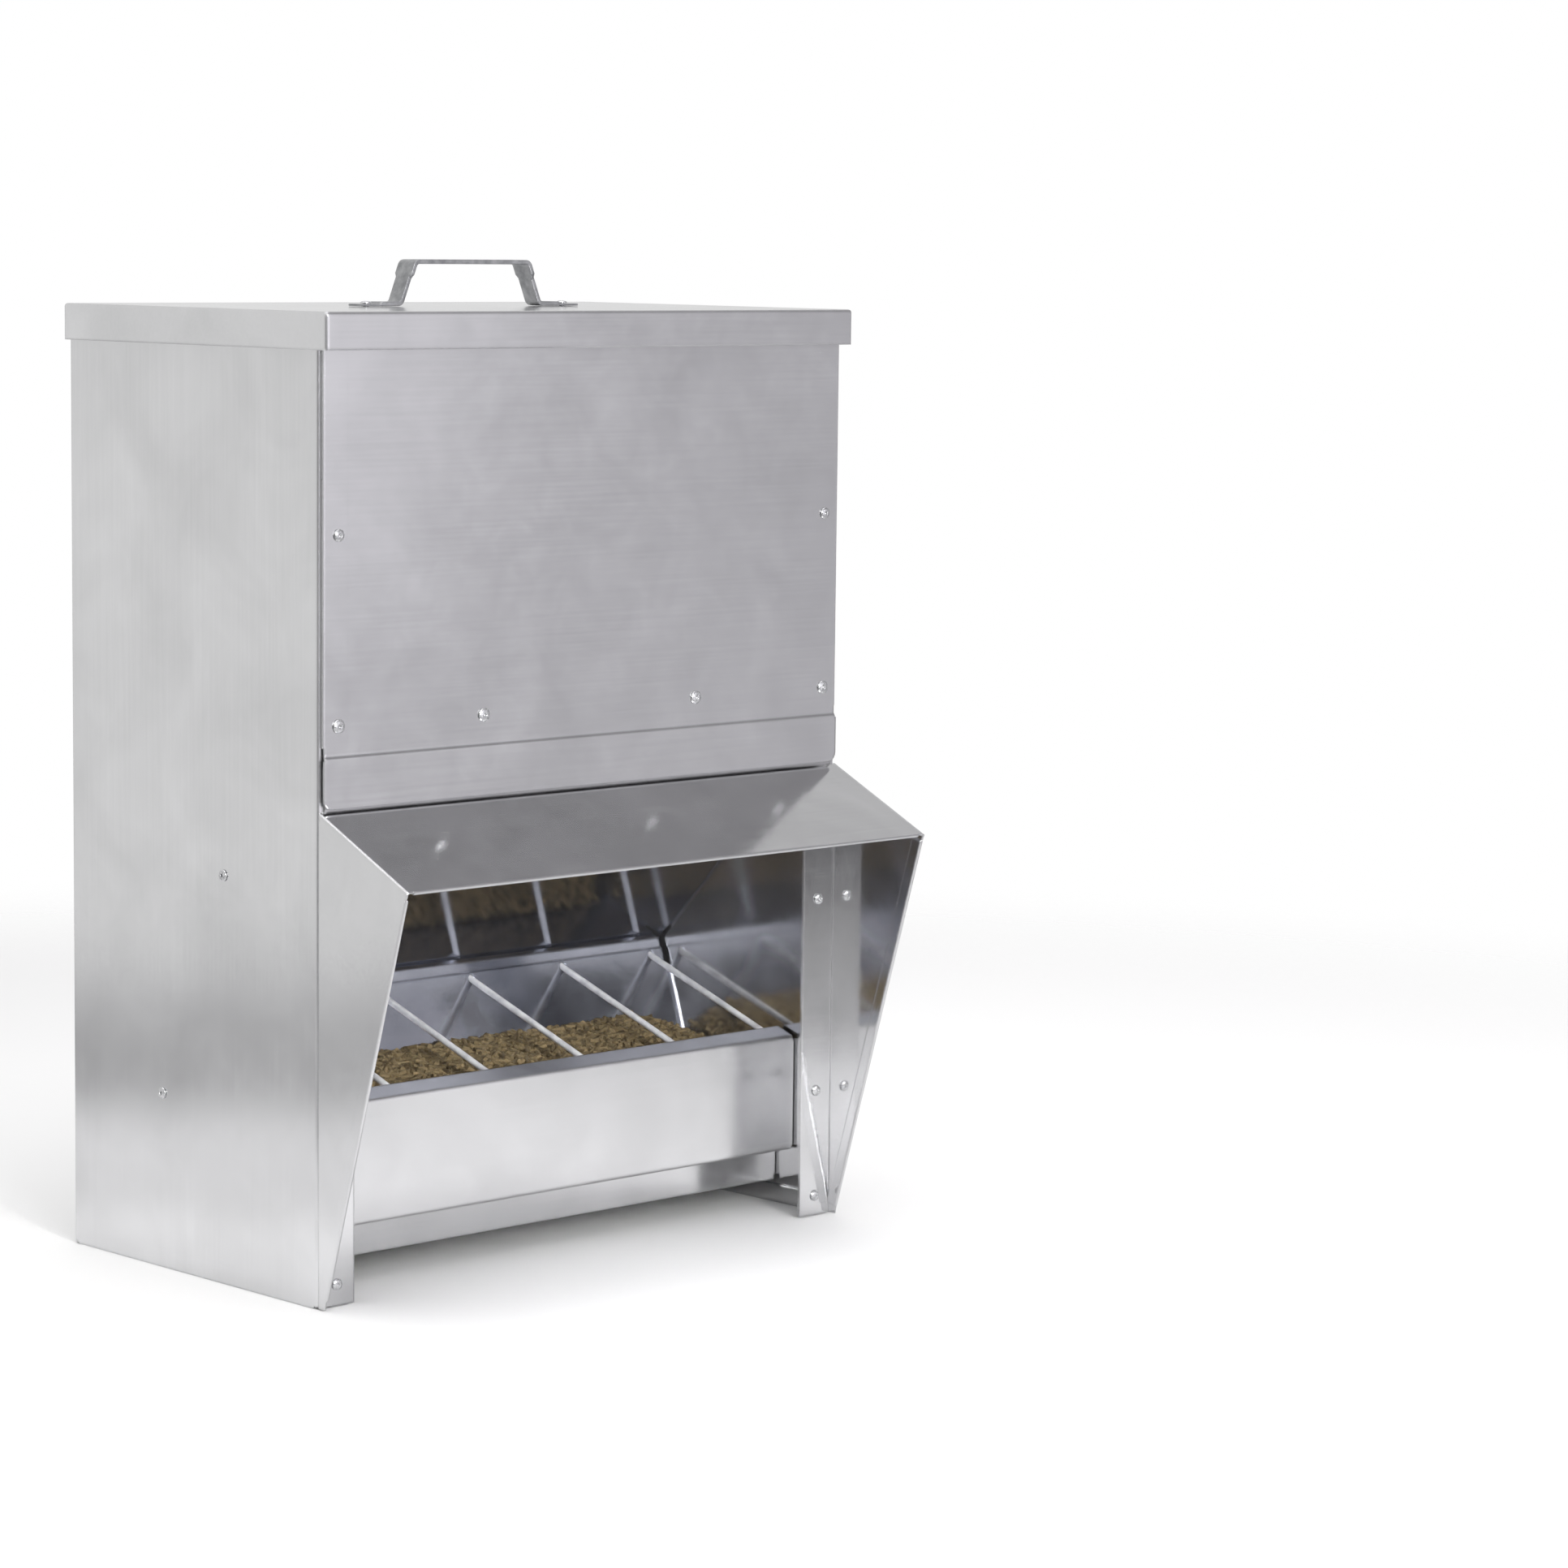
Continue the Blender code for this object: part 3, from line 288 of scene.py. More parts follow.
def add_piece(name, points, faces, material, body, smooth=True):
    """A mesh object at the origin, riding on a body."""
    mesh = bpy.data.meshes.new(name)
    mesh.from_pydata(points.tolist(), [], faces)
    mesh.validate()
    if smooth:
        mesh.shade_smooth()
    mesh.materials.append(material)
    piece = bpy.data.objects.new(name, mesh)
    bpy.context.scene.collection.objects.link(piece)
    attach(piece, body)
    return piece


def tube_faces(rings, around):
    """Quads between each ring of points and the next, for rings * around points in order."""
    ring = np.arange(rings - 1)[:, None] * around
    step = np.arange(around)[None, :]
    after = (step + 1) % around
    quads = np.stack([ring + step, ring + after, ring + around + after, ring + around + step], axis=-1)
    return quads.reshape(-1, 4).tolist()


def turned(radii, heights, start, direction):
    """A closed surface turned about a line: each (radius, height) becomes a circle of that radius, that far
    along direction from start. The first and last radii are 0 and become single points."""
    along = np.asarray(direction, float)
    side = np.cross(along, (1.0, 0.0, 0.0) if abs(along[0]) < 0.9 else (0.0, 1.0, 0.0))
    side /= np.linalg.norm(side)
    across = np.cross(along, side)
    angles = np.linspace(0, 2 * np.pi, TURN_STEPS, endpoint=False)
    round_about = np.cos(angles)[:, None] * side + np.sin(angles)[:, None] * across
    rings = radii[1:-1, None, None] * round_about + heights[1:-1, None, None] * along
    count = len(radii) - 2
    points = np.concatenate([rings.reshape(-1, 3), [heights[0] * along], [heights[-1] * along]]) + start
    faces = tube_faces(count, TURN_STEPS)
    first, last = len(points) - 2, len(points) - 1
    end = (count - 1) * TURN_STEPS
    for step in range(TURN_STEPS):
        after = (step + 1) % TURN_STEPS
        faces.append([after, step, first])
        faces.append([end + step, end + after, last])
    return points, faces


def outwards(piece):
    """Turns a closed piece's faces outwards where its signed volume is negative."""
    mesh = piece.data
    mesh.calc_loop_triangles()
    corners = np.array([mesh.vertices[v].co for t in mesh.loop_triangles for v in t.vertices])
    corners = corners.reshape(-1, 3, 3)
    if np.einsum("ij,ij->i", corners[:, 0], np.cross(corners[:, 1], corners[:, 2])).sum() < 0:
        mesh.flip_normals()


def node_points(node):
    """The frame node's vertices as an array."""
    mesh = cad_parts[node].data
    points = np.empty(len(mesh.vertices) * 3)
    mesh.vertices.foreach_get("co", points)
    return points.reshape(-1, 3)


def centre_line(node, direction):
    """The first and last points of a node's middle line along a direction."""
    points = node_points(node)
    along = np.asarray(direction, float)
    lengths = points @ along
    rest = points - lengths[:, None] * along
    middle = (rest.min(axis=0) + rest.max(axis=0)) / 2
    middle -= (middle @ along) * along
    return middle + lengths.min() * along, middle + lengths.max() * along


def arc(start, end, count):
    """Angles from start to end degrees."""
    return np.radians(np.linspace(start, end, count))


# Pieces


def rivet(node, direction, material, body):
    """A set blind rivet. Its half-section runs from the bottom of the mandrel's hollow over a
    quarter-ellipse dome to the rim, in to the shank, and out round the swelled tail."""
    tail, apex = centre_line(node, direction)
    length = np.linalg.norm(apex - tail)
    head_radius = (np.sort(np.ptp(node_points(node), axis=0))[-1]) / 2
    dome = arc(90, 0, 9)
    bulb = arc(60, -80, 9)
    under = length - RIVET_DOME
    dome_base = RIVET_BORE + RIVET_LIP
    radii = np.concatenate(
        [
            [0, 0.9 * RIVET_BORE, RIVET_BORE, RIVET_BORE + 0.03 * MM],
            dome_base + (head_radius - dome_base) * np.cos(dome),
            [head_radius - 0.05 * MM, RIVET_SHANK, RIVET_SHANK],
            RIVET_SHANK + (RIVET_TAIL - RIVET_SHANK) * np.cos(bulb),
            [0],
        ]
    )
    heights = np.concatenate(
        [
            length - np.array([RIVET_HOLLOW, RIVET_HOLLOW - 0.05 * MM, 0.35 * MM, 0.1 * MM]),
            under + RIVET_RIM + (RIVET_DOME - RIVET_RIM) * np.sin(dome),
            [under, under, RIVET_TAIL_LENGTH],
            RIVET_TAIL_LENGTH * (0.5 + 0.5 * np.sin(bulb)),
            [0],
        ]
    )
    points, faces = turned(radii, heights, tail, direction)
    piece = add_piece(node + "_set", points, faces, material, body)
    outwards(piece)
    piece.data.set_sharp_from_angle(angle=CREASE)
    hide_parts(node)


def divider_rod(node, material):
    """A round wire with a small upset head at each end; the heads' edges are quarter circles."""
    direction = (0, math.cos(ROD_RAKE), math.sin(ROD_RAKE))
    start, end = centre_line(node, direction)
    length = np.linalg.norm(end - start)
    turn = arc(0, 90, 5)
    outer = ROD_HEAD_RADIUS - ROD_EDGE + ROD_EDGE * np.sin(turn)
    lower = ROD_EDGE - ROD_EDGE * np.cos(turn)
    first = np.concatenate([[0], outer, [ROD_HEAD_RADIUS, ROD_RADIUS, ROD_RADIUS]])
    rise = np.concatenate([[0], lower, [ROD_HEAD, ROD_HEAD, ROD_HEAD + ROD_EDGE]])
    radii = np.concatenate([first, first[::-1]])
    heights = np.concatenate([rise, length - rise[::-1]])
    points, faces = turned(radii, heights, start, direction)
    piece = add_piece(node + "_wire", points, faces, material, "body")
    outwards(piece)
    piece.data.set_sharp_from_angle(angle=CREASE)
    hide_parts(node)


def rounded_path(corners, radius, steps):
    """A polyline whose corners become arcs of the radius, each tangent to both of its sides."""
    path = [corners[:1]]
    for before, corner, after in zip(corners, corners[1:], corners[2:]):
        back = (before - corner) / np.linalg.norm(before - corner)
        ahead = (after - corner) / np.linalg.norm(after - corner)
        half = math.acos(float(np.clip(back @ ahead, -1, 1))) / 2
        reach = min(radius / math.tan(half), 0.45 * np.linalg.norm(before - corner))
        centre_way = (back + ahead) / np.linalg.norm(back + ahead)
        centre = corner + centre_way * reach / math.cos(half)
        bend = reach * math.tan(half)
        share = np.linspace(0, 1, steps)[:, None]
        spread = (1 - share) * (corner + back * reach - centre) + share * (corner + ahead * reach - centre)
        path.append(centre + bend * spread / np.linalg.norm(spread, axis=1)[:, None])
    path.append(corners[-1:])
    return np.concatenate(path)


def handle_corners(gap):
    """The strap's middle line from its left end to the bar's corner, as (x, height above the lid)."""
    run = (HANDLE_SPAN - HANDLE_TOP) / 2
    low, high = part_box("lid_handle")
    top = high[2] - low[2] + gap
    foot = gap + HANDLE_STRAP
    lean = math.atan2(run, top - foot)
    outside = np.array([-HANDLE_SPAN / 2, foot])
    inside = outside + HANDLE_STRAP / 2 * np.array([math.cos(lean), -math.sin(lean)])
    up = np.array([math.sin(lean), math.cos(lean)])
    foot_line = gap + HANDLE_STRAP / 2
    tab_line = gap + HANDLE_TAB / 2
    root = inside + up * (foot_line - inside[1]) / up[1]
    corner = inside + up * (top - HANDLE_STRAP / 2 - inside[1]) / up[1]
    step = FOOT_SPAN / 2 + HANDLE_STRAP - HANDLE_TAB
    return np.array([[low[0], tab_line], [-step, tab_line], [-FOOT_SPAN / 2, foot_line], root, corner])


def lid_handle(material, gap):
    """The strap: a rounded rectangle swept along the bent middle line. Its width eases from the feet's to
    the grip's up the leg, and its thickness from the tabs' to the strap's at the feet."""
    left = handle_corners(gap)
    bends = rounded_path(np.concatenate([left, left[::-1] * (-1, 1)]), BEND_RADIUS, 9)
    spans = np.linalg.norm(np.diff(bends, axis=0), axis=1)
    runs = np.concatenate([[0], np.cumsum(spans)])
    fine = np.unique(np.concatenate([runs, np.arange(0, runs[-1], STRAP_STEP)]))
    path = np.stack([np.interp(fine, runs, bends[:, 0]), np.interp(fine, runs, bends[:, 1])], axis=1)
    way = np.gradient(path, fine, axis=0)
    way /= np.linalg.norm(way, axis=1)[:, None]
    normal = np.stack([-way[:, 1], way[:, 0]], axis=1)

    leg = left[4, 1] - left[3, 1]
    share = np.clip(((path[:, 1] - left[3, 1]) / leg - GRIP_START) / GRIP_STEP, 0, 1)
    width = HANDLE_WIDTH + (GRIP_WIDTH - HANDLE_WIDTH) * share * share * (3 - 2 * share)
    thick = np.interp(np.abs(path[:, 0]), [-left[2, 0], -left[1, 0]], [HANDLE_STRAP, HANDLE_TAB])

    turn = arc(0, 90, 5)
    quarter = np.stack([np.cos(turn), np.sin(turn)], axis=1) * STRAP_EDGE
    signs = [(1, 1), (-1, 1), (-1, -1), (1, -1)]
    rounds = [quarter[:: 1 if a * b > 0 else -1] * (a, b) for a, b in signs]
    corner_signs = np.repeat(np.array(signs), len(turn), axis=0)
    section = np.concatenate(rounds)
    reach = np.stack([thick / 2 - STRAP_EDGE, width / 2 - STRAP_EDGE], axis=1)
    offsets = corner_signs[None] * reach[:, None] + section[None]

    low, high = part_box("lid_handle")
    middle = (low[1] + high[1]) / 2
    lid_top = low[2] - gap
    flat = path[:, None] + offsets[..., :1] * normal[:, None]
    points = np.stack([flat[..., 0], middle + offsets[..., 1], lid_top + flat[..., 1]], axis=-1)
    around = points.shape[1]
    faces = tube_faces(len(points), around)
    faces += [list(range(around))[::-1], [(len(points) - 1) * around + step for step in range(around)]]
    piece = add_piece("lid_handle_strap", points.reshape(-1, 3), faces, material, "lid")
    outwards(piece)
    piece.data.set_sharp_from_angle(angle=CREASE)
    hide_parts("lid_handle")


def feed_outline():
    """The corners of the frame's feed, by place: level line (front, before the apron, behind it, rear), the
    apron's slot and the bottom."""
    section = np.unique(np.round(node_points("feed")[:, 1:], 5), axis=0)
    front = section[section[:, 0] < section[:, 0].min() + SAME_HEIGHT]
    rear = section[np.argmax(section[:, 0])]
    start = front[np.argmax(front[:, 1])]
    slope = (rear[1] - start[1]) / (rear[0] - start[0])
    over = np.abs(section[:, 1] - start[1] - slope * (section[:, 0] - start[0])) < SAME_LINE
    level = section[over][np.argsort(section[over][:, 0])]
    under = section[~over]
    lowest = under[:, 1] < under[:, 1].min() + SAME_HEIGHT
    bottom, slot = under[lowest], under[~lowest]
    return level, slot[np.argsort(slot[:, 0])], bottom[np.argsort(bottom[:, 0])]


def rough_ground(x, y, size):
    """Heights from -1 to 1: five crossed sine waves, from 7 down to 1.5 sizes long."""
    height = np.zeros(np.broadcast(x, y).shape)
    for number, (angle, length) in enumerate([(0.4, 7.0), (1.9, 5.2), (2.7, 3.1), (1.2, 2.2), (0.1, 1.5)]):
        wave = 2 * np.pi / (length * size)
        height = height + np.sin(wave * (x * np.cos(angle) + y * np.sin(angle)) + 1.7 * number) / 5
    return height


def slipped(x):
    """How far the heap has fallen at x: nothing in the middle, and half a cosine wave down towards each
    end."""
    low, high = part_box("feed")
    inside = np.clip(np.minimum(x - low[0], high[0] - x) / SLIP_REACH, 0, 1)
    return SLIP_DEPTH * (1 + np.cos(np.pi * inside)) / 2


def feed_bed(material):
    """The heap under the pellets: the feed's outline carried across the trough, with its level line
    lowered and roughened by crossed waves. In the trough it has slipped down at both ends."""
    level, slot, bottom = feed_outline()
    low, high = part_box("feed")
    stretches = []
    for start, end in ((level[0], level[1]), (level[2], level[3])):
        steps = int(np.ceil((end[0] - start[0]) / BED_STEP)) + 1
        stretches.append(start + np.linspace(0, 1, steps)[:, None] * (end - start))
    outline = np.concatenate([stretches[0], slot, stretches[1], bottom[::-1]])
    top = np.concatenate(
        [np.ones(len(stretches[0])), np.zeros(2), np.ones(len(stretches[1])), np.zeros(len(bottom))]
    )
    across = np.linspace(low[0], high[0], round((high[0] - low[0]) / BED_STEP) + 1)
    y = np.broadcast_to(outline[None, :, 0], (len(across), len(outline)))
    x = np.broadcast_to(across[:, None], y.shape)
    sunk = BED_DEPTH - 0.9 * MM * rough_ground(x, y, 6 * MM)
    points = np.stack([x, y, outline[None, :, 1] - top[None] * sunk], axis=-1)
    around = len(outline)
    points[:, : len(stretches[0]), 2] -= slipped(across)[:, None]
    faces = tube_faces(len(across), around)
    faces += [list(range(around))[::-1], [(len(across) - 1) * around + step for step in range(around)]]
    piece = add_piece("feed_bed", points.reshape(-1, 3), faces, material, "body", smooth=False)
    outwards(piece)
    tint = piece.data.attributes.new("tint", "FLOAT", "POINT")
    tint.data.foreach_set("value", np.full(len(piece.data.vertices), 0.5))
    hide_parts("feed")


def pellets(name, front, rear, material, seed, slips):
    """Loose pellets along a stretch of the level line: eight-sided rods with ragged ends, in a jittered
    grid two deep. Each is turned at random, tipped a little and lifted to its layer. slips is 1 where the
    heap has slipped down at its ends."""
    draw = np.random.default_rng(seed)
    low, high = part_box("feed")
    x_low, x_high = low[0] + WALL_CLEAR, high[0] - WALL_CLEAR
    y_low, y_high = front[0] + WALL_CLEAR, rear[0] - WALL_CLEAR
    columns = int((x_high - x_low) / PELLET_SPACING)
    rows = int((y_high - y_low) / PELLET_SPACING)
    grid_x, grid_y = np.meshgrid(np.linspace(x_low, x_high, columns), np.linspace(y_low, y_high, rows))
    count = grid_x.size
    x = np.clip(grid_x.ravel() + draw.uniform(-0.5, 0.5, count) * PELLET_SPACING, x_low, x_high)
    y = np.clip(grid_y.ravel() + draw.uniform(-0.5, 0.5, count) * PELLET_SPACING, y_low, y_high)
    slope = (rear[1] - front[1]) / (rear[0] - front[0])
    layer = draw.integers(0, 2, count) * LAYER_STEP + 0.8 * MM * rough_ground(x, y, 9 * MM)
    z = front[1] + slope * (y - front[0]) - BED_DEPTH + LAYER_BASE + layer - slips * slipped(x)

    length = draw.uniform(*PELLET_LENGTH, count)
    radius = PELLET_RADIUS * draw.uniform(0.9, 1.08, count)
    sides = np.linspace(0, 2 * np.pi, PELLET_SIDES, endpoint=False)
    ring = np.stack([np.cos(sides), np.sin(sides)], axis=1)
    ends = np.repeat([-0.5, 0.5], PELLET_SIDES)
    shape = np.empty((count, 2 * PELLET_SIDES, 3))
    shape[..., 0] = ends * length[:, None] + draw.normal(0, PELLET_RAGGED, (count, 2 * PELLET_SIDES))
    shape[..., 1:] = np.tile(ring, (2, 1)) * radius[:, None, None]
    heading = draw.uniform(0, 2 * np.pi, count)
    tip = draw.normal(0, PELLET_TIP, count) + math.atan(slope) * np.sin(heading)
    way = np.stack([np.cos(heading) * np.cos(tip), np.sin(heading) * np.cos(tip), np.sin(tip)], axis=1)
    side = np.stack([-np.sin(heading), np.cos(heading), np.zeros(count)], axis=1)
    up = np.cross(way, side)
    axes = np.stack([way, side, up], axis=1)
    points = np.einsum("npa,nab->npb", shape, axes) + np.stack([x, y, z], axis=1)[:, None]

    step = np.arange(PELLET_SIDES)
    after = (step + 1) % PELLET_SIDES
    walls = np.stack([step, after, after + PELLET_SIDES, step + PELLET_SIDES], axis=1)
    first = np.arange(count) * 2 * PELLET_SIDES
    faces = (walls[None] + first[:, None, None]).reshape(-1, 4).tolist()
    faces += (step[::-1][None] + first[:, None]).tolist()
    faces += (step[None] + PELLET_SIDES + first[:, None]).tolist()
    piece = add_piece(name, points.reshape(-1, 3), faces, material, "body")
    outwards(piece)
    piece.data.set_sharp_from_angle(angle=PELLET_CREASE)
    tint = piece.data.attributes.new("tint", "FLOAT", "POINT")
    tint.data.foreach_set("value", np.repeat(draw.uniform(0, 1, count), 2 * PELLET_SIDES))


# Studio

WALL_BACK_TONE = hex_colour("#ffffff")
WALL_FRONT_TONE = hex_colour("#fbf9ff")
WALL_BASE = 0.21
# heading, rise, where the zone ends and where it is full (degrees from its middle), and what it adds
SURROUND = (
    (340, 0, 175, 5, 0.43),
    (44, 5, 32, 12, 0.20),
    (145, 0, 40, 12, 0.19),
    (159, 6, 23, 9, 0.85),
    (121, 41, 30, 8, -0.08),
    (224, 14, 40, 12, -0.25),
    (0, 90, 38, 22, 1.3),
)
WALL_FRONT_HEADING = 160
FLOOR_EDGE = 1.7
FLOOR_FADE = (0.6 * FLOOR_EDGE, 0.98 * FLOOR_EDGE)
FLOOR_PALE = hex_colour("#f2f2f1")
# painted shadow under the feeder, in the floor's tone as the zinc mirrors it
FLOOR_PAINTED_SHADOW = hex_colour("#b8b8b8")
# painted darker patch: painted shade in front on the left, in the floor's tone as the zinc mirrors it
FLOOR_SHADE_PATCH = (-0.60, -0.90, 0.0)
FLOOR_SHADE_PATCH_TONE = hex_colour("#868686")
FLOOR_SHADE_PATCH_EDGE = (0.36, 0.72)
# painted pool of light just round the feeder and painted shade further out, in the mirrored floor's tone
# start and end of each change (metres from the middle), and the tone beyond it
FLOOR_PAINTED_SHADE_RINGS = (
    (0.17, 0.25, hex_colour("#dadada")),
    (0.30, 0.44, hex_colour("#c8c8c8")),
    (0.60, 0.84, hex_colour("#989898")),
    (0.90, 1.50, hex_colour("#b6b6b6")),
)


def camera():
    """The camera looks along its heading, tipped down, and is then rolled about its own axis."""
    ahead = Vector(
        (
            math.sin(CAMERA_HEADING) * math.cos(CAMERA_DOWN),
            math.cos(CAMERA_HEADING) * math.cos(CAMERA_DOWN),
            -math.sin(CAMERA_DOWN),
        )
    )
    right = Vector((math.cos(CAMERA_HEADING), -math.sin(CAMERA_HEADING), 0))
    up = right.cross(ahead)
    rolled_right = math.cos(CAMERA_ROLL) * right + math.sin(CAMERA_ROLL) * up
    rolled_up = math.cos(CAMERA_ROLL) * up - math.sin(CAMERA_ROLL) * right
    data = bpy.data.cameras.new("camera")
    data.lens = CAMERA_LENS
    data.sensor_width = CAMERA_SENSOR
    data.clip_start = CAMERA_NEAREST
    made = bpy.data.objects.new("camera", data)
    turn = Matrix((rolled_right, rolled_up, -ahead)).transposed().to_4x4()
    made.matrix_world = Matrix.Translation(CAMERA_PLACE) @ turn
    bpy.context.scene.collection.objects.link(made)
    bpy.context.scene.camera = made


def softbox(name, place, aim, width, power, mirrored=True, spread=180):
    """A square soft light. mirrored says whether the zinc shows it, and spread is its fan in degrees, below
    180 with a grid in front."""
    data = bpy.data.lights.new(name, "AREA")
    data.size = width
    data.energy = power
    data.spread = math.radians(spread)
    made = bpy.data.objects.new(name, data)
    made.location = place
    made.rotation_mode = "QUATERNION"
    made.rotation_quaternion = (Vector(aim) - Vector(place)).to_track_quat("-Z", "Y")
    made.visible_glossy = mirrored
    made.visible_camera = False
    bpy.context.scene.collection.objects.link(made)


def heading_way(heading, rise=0.0):
    """The direction of a compass heading (degrees clockwise from +Y) and a rise (degrees)."""
    turn, lift = math.radians(heading), math.radians(rise)
    return (math.sin(turn) * math.cos(lift), math.cos(turn) * math.cos(lift), math.sin(lift))


def studio_surround():
    """The walls that the zinc mirrors: brighter behind the feeder, a soft light in front on the right, a
    broad one overhead, and two dim corners. The camera sees plain white. Each zone is a soft-edged cap round
    its own heading."""
    world = bpy.data.worlds.new("studio")
    world.use_nodes = True
    tree = world.node_tree
    output = tree.nodes["World Output"]
    direction = add_node(tree, COORDINATES, out="Generated")
    level = WALL_BASE
    for heading, rise, edge, full, gain in SURROUND:
        dot = add_node(
            tree,
            "ShaderNodeVectorMath",
            {0: direction, 1: heading_way(heading, rise)},
            out="Value",
            operation="DOT_PRODUCT",
        )
        low, high = math.cos(math.radians(edge)), math.cos(math.radians(full))
        zone = {0: dot, 1: low, 2: high, 3: 0.0, 4: gain}
        added = add_node(tree, RANGE, zone, interpolation_type="SMOOTHSTEP")
        level = add_node(tree, MATHS, {0: added, 1: level}, operation="ADD")
    forwards = {0: direction, 1: heading_way(WALL_FRONT_HEADING)}
    dot = add_node(tree, "ShaderNodeVectorMath", forwards, out="Value", operation="DOT_PRODUCT")
    front = add_node(tree, RANGE, {0: dot, 1: -0.3, 2: 0.5, 3: 0.0, 4: 1.0})
    tone = add_node(tree, MIX, {0: front, 6: WALL_BACK_TONE, 7: WALL_FRONT_TONE}, out=2, data_type="RGBA")
    surround = add_node(tree, "ShaderNodeBackground", {"Color": tone, "Strength": level})
    plain = add_node(tree, "ShaderNodeBackground", {"Color": (1, 1, 1, 1), "Strength": 1.0})
    seen = add_node(tree, "ShaderNodeLightPath", out="Is Camera Ray")
    mixed = add_node(tree, "ShaderNodeMixShader", {0: seen, 1: surround, 2: plain})
    tree.links.new(mixed, output.inputs["Surface"])
    bpy.context.scene.world = world


def floor():
    """A pale floor that fades out into the white around it. What the zinc mirrors of it has painted shade
    and
    light: a painted shadow under the feeder, a painted pool of light just around it, and painted shade
    further out, most of all in a painted darker patch in front on the left."""
    points = np.array([[-1, -1, 0], [1, -1, 0], [1, 1, 0], [-1, 1, 0]], float) * FLOOR_EDGE
    mesh = bpy.data.meshes.new("floor")
    mesh.from_pydata(points.tolist(), [], [[0, 1, 2, 3]])
    made, tree, shader = new_material("pale_floor", Roughness=0.6, Specular_IOR_Level=0.2)
    here = add_node(tree, COORDINATES, out="Object")
    away = add_node(tree, "ShaderNodeVectorMath", {0: here}, out="Value", operation="LENGTH")
    edge = {0: away, 1: FLOOR_FADE[0], 2: FLOOR_FADE[1], 3: 1.0, 4: 0.0}
    fade = add_node(tree, RANGE, edge, interpolation_type="SMOOTHSTEP")
    spot = {0: here, 1: FLOOR_SHADE_PATCH}
    aside = add_node(tree, "ShaderNodeVectorMath", spot, out="Value", operation="DISTANCE")
    # the mirrored floor starts from the painted shadow under the feeder, then takes the rings of painted
    # light and shade
    colour = FLOOR_PAINTED_SHADOW
    for start, end, tone in FLOOR_PAINTED_SHADE_RINGS:
        share = add_node(
            tree, RANGE, {0: away, 1: start, 2: end, 3: 0.0, 4: 1.0}, interpolation_type="SMOOTHSTEP"
        )
        colour = add_node(tree, MIX, {0: share, 6: colour, 7: tone}, out=2, data_type="RGBA")
    # painted darker patch of painted shade in front on the left
    patch = {0: aside, 1: FLOOR_SHADE_PATCH_EDGE[0], 2: FLOOR_SHADE_PATCH_EDGE[1], 3: 1.0, 4: 0.0}
    share = add_node(tree, RANGE, patch, interpolation_type="SMOOTHSTEP")
    colour = add_node(tree, MIX, {0: share, 6: colour, 7: FLOOR_SHADE_PATCH_TONE}, out=2, data_type="RGBA")
    # the camera sees the even pale floor; only reflections get the painted shadow, light and shade
    seen = add_node(tree, "ShaderNodeLightPath", out="Is Camera Ray")
    shown = add_node(tree, MIX, {0: seen, 6: colour, 7: FLOOR_PALE}, out=2, data_type="RGBA")
    tree.links.new(shown, shader.inputs["Base Color"])
    clear = add_node(tree, "ShaderNodeBsdfTransparent")
    mixed = add_node(tree, "ShaderNodeMixShader", {0: fade, 1: clear, 2: shader.outputs[0]})
    tree.links.new(mixed, tree.nodes["Material Output"].inputs["Surface"])
    mesh.materials.append(made)
    sheet = bpy.data.objects.new("floor", mesh)
    bpy.context.scene.collection.objects.link(sheet)


# The scene

bpy.context.scene.view_settings.view_transform = "Standard"

camera()
studio_surround()
floor()
softbox("overhead", (-0.1, -0.45, 2.4), (0, 0, 0.2), 1.8, 30, mirrored=False)
softbox("front", (-0.9, -2.6, 1.5), (0, 0, 0.2), 1.2, 31)
softbox("grid", (-0.5, -1.9, 0.62), (0, -0.1, 0.17), 0.4, 0.68, spread=24)

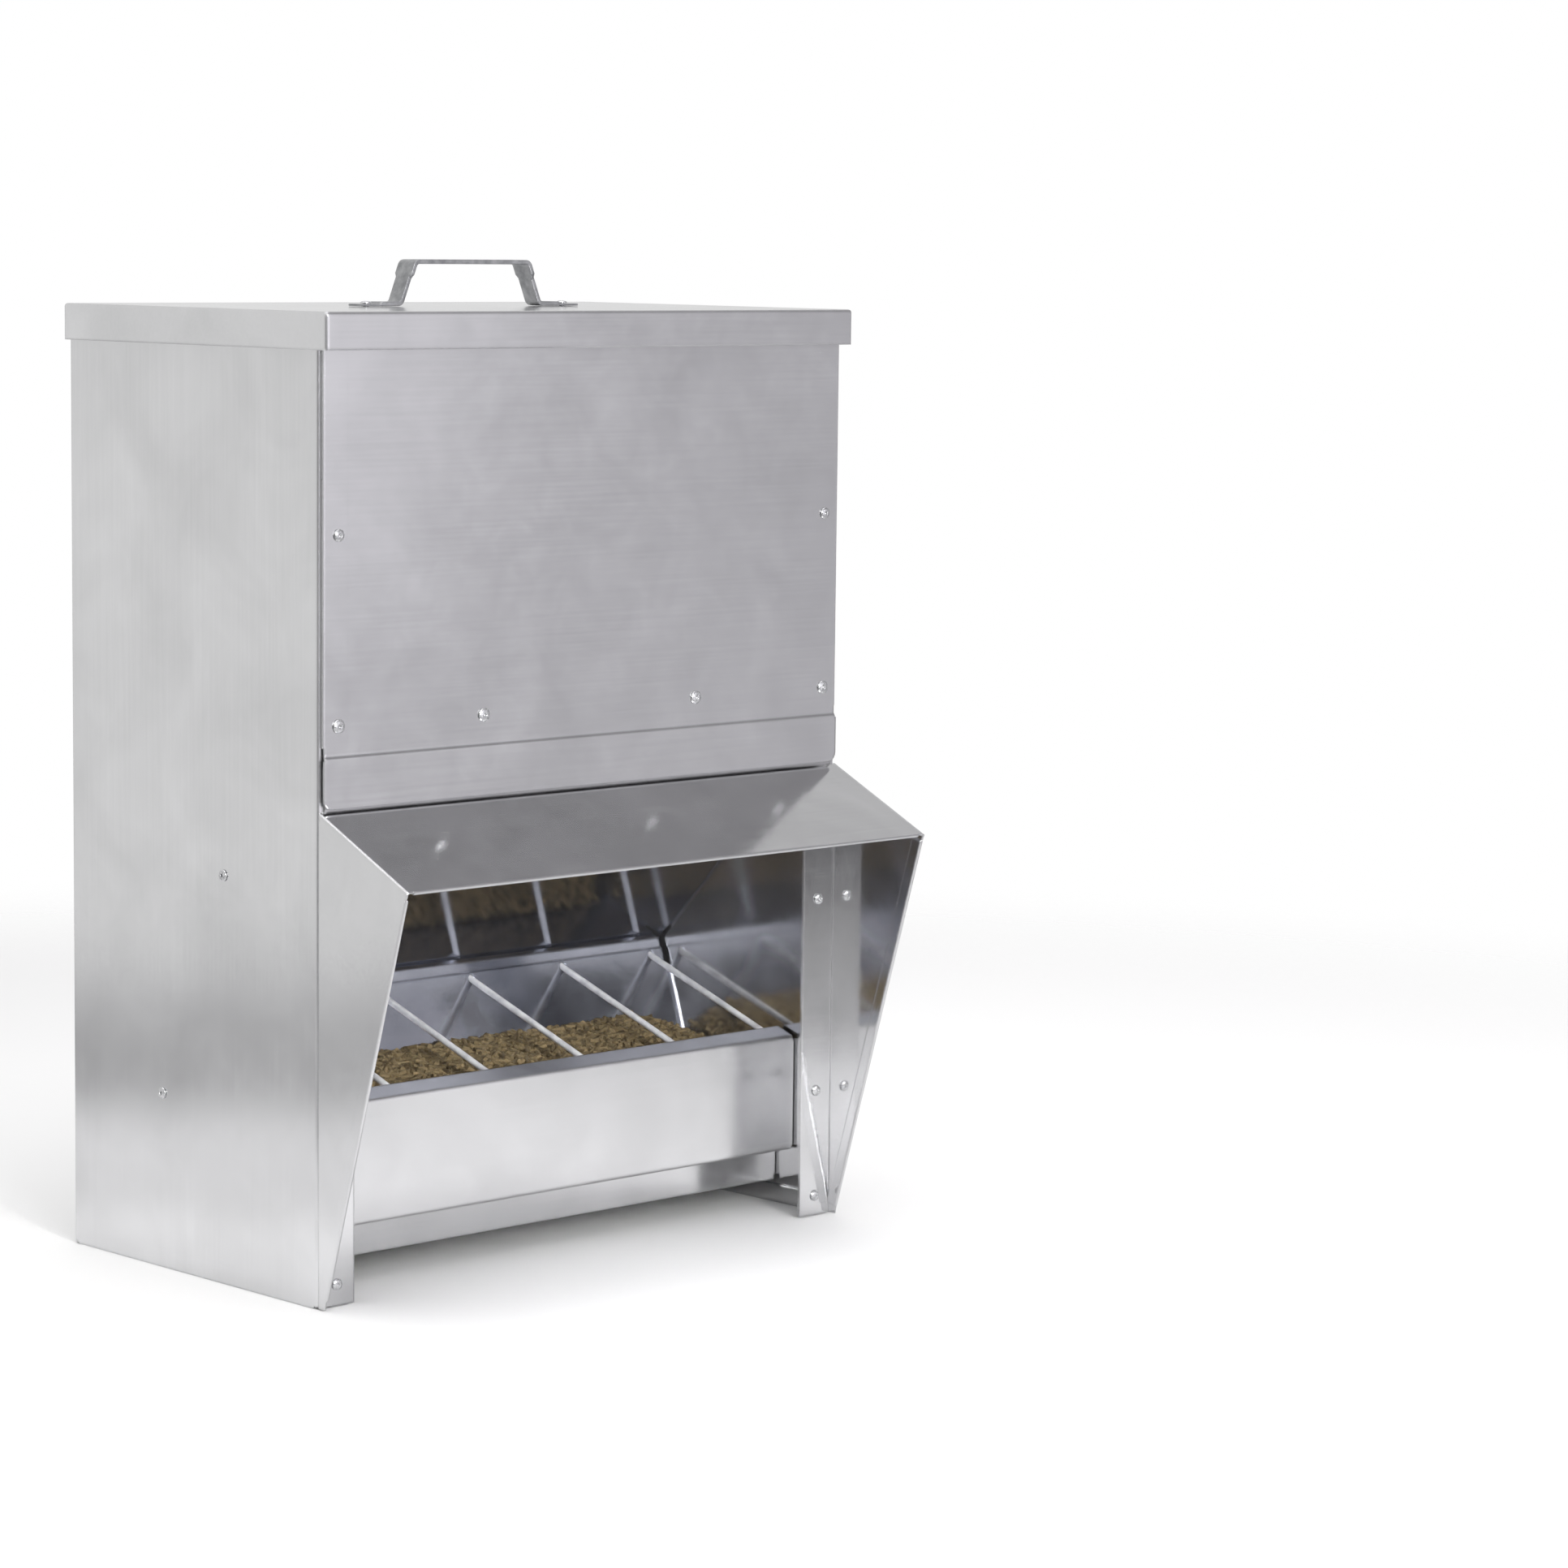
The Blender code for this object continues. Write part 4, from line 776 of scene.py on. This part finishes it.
# node: axis that the sheet was rolled along, where its pattern starts, how little bloom it has, its mean
# roughness and its zinc
SHEETS = {
    "left_side_panel": (2, (0.1, 0.2, 0.3), 0.95, 0.12, ZINC),
    "right_side_panel": (2, (0.7, 0.1, 0.9), 0.94, 0.12, ZINC),
    "back_panel": (2, (0.4, 0.8, 0.2), 0.92, 0.12, ZINC),
    "front_panel": (0, (0.9, 0.3, 0.6), 0.95, 0.12, ZINC),
    # throat plate and apron take the darker, bluer zinc with painted shade
    "throat_plate": (0, (0.2, 0.6, 0.1), 0.96, 0.09, PAINTED_SHADE_ZINC),
    "throat_apron": (0, (0.5, 0.9, 0.4), 0.97, 0.13, PAINTED_SHADE_ZINC),
    "hopper_floor": (0, (0.8, 0.5, 0.7), 0.90, 0.15, ZINC),
    "trough": (0, (0.3, 0.4, 0.8), 0.95, 0.22, ZINC),
    "base_rail": (0, (0.6, 0.7, 0.5), 0.95, 0.15, ZINC),
    "hood": (0, (1.1, 0.2, 0.9), 0.99, 0.12, ZINC),
    "lid": (0, (1.3, 0.9, 0.1), 0.95, 0.12, ZINC),
}
for node, (rolled, offset, metallic, dull, tones) in SHEETS.items():
    zinc = galvanised_sheet("galvanised_" + node, rolled, offset, metallic, dull, tones)
    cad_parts[node].material_slots[0].material = zinc

wire = drawn_wire()
aluminium = rivet_aluminium()
RIVET_WAYS = {
    "panel": (0, -1, 0),
    "hood": (0, -1, 0),
    "back": (0, 1, 0),
    "floor": (0, 1, 0),
    "handle": (0, 0, 1),
}
for node in sorted(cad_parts):
    if node.startswith("divider_rod"):
        divider_rod(node, wire)
    elif "_rivet_" in node:
        place = node.split("_")[0]
        sideways = (-1, 0, 0) if node.endswith("left") else (1, 0, 0)
        rivet(node, RIVET_WAYS.get(place, sideways), aluminium, "lid" if place == "handle" else "body")

lid_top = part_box("lid")[1][2]
lid_handle(plated_strap(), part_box("lid_handle")[0][2] - lid_top)

meal = meal_pellets("pressed_meal_pellets", PELLET_DARK, PELLET_LIGHT)
# the bed is the pellets' material in darker browns, painted shade where deeper feed shows between pellets
feed_bed(meal_pellets("painted_shade_pellet_bed", BED_SHADE_DARK, BED_SHADE_LIGHT))
level, _, _ = feed_outline()
pellets("pellets_in_trough", level[0], level[1], meal, TROUGH_SEED, 1)
pellets("pellets_in_throat", level[2], level[3], meal, THROAT_SEED, 0)
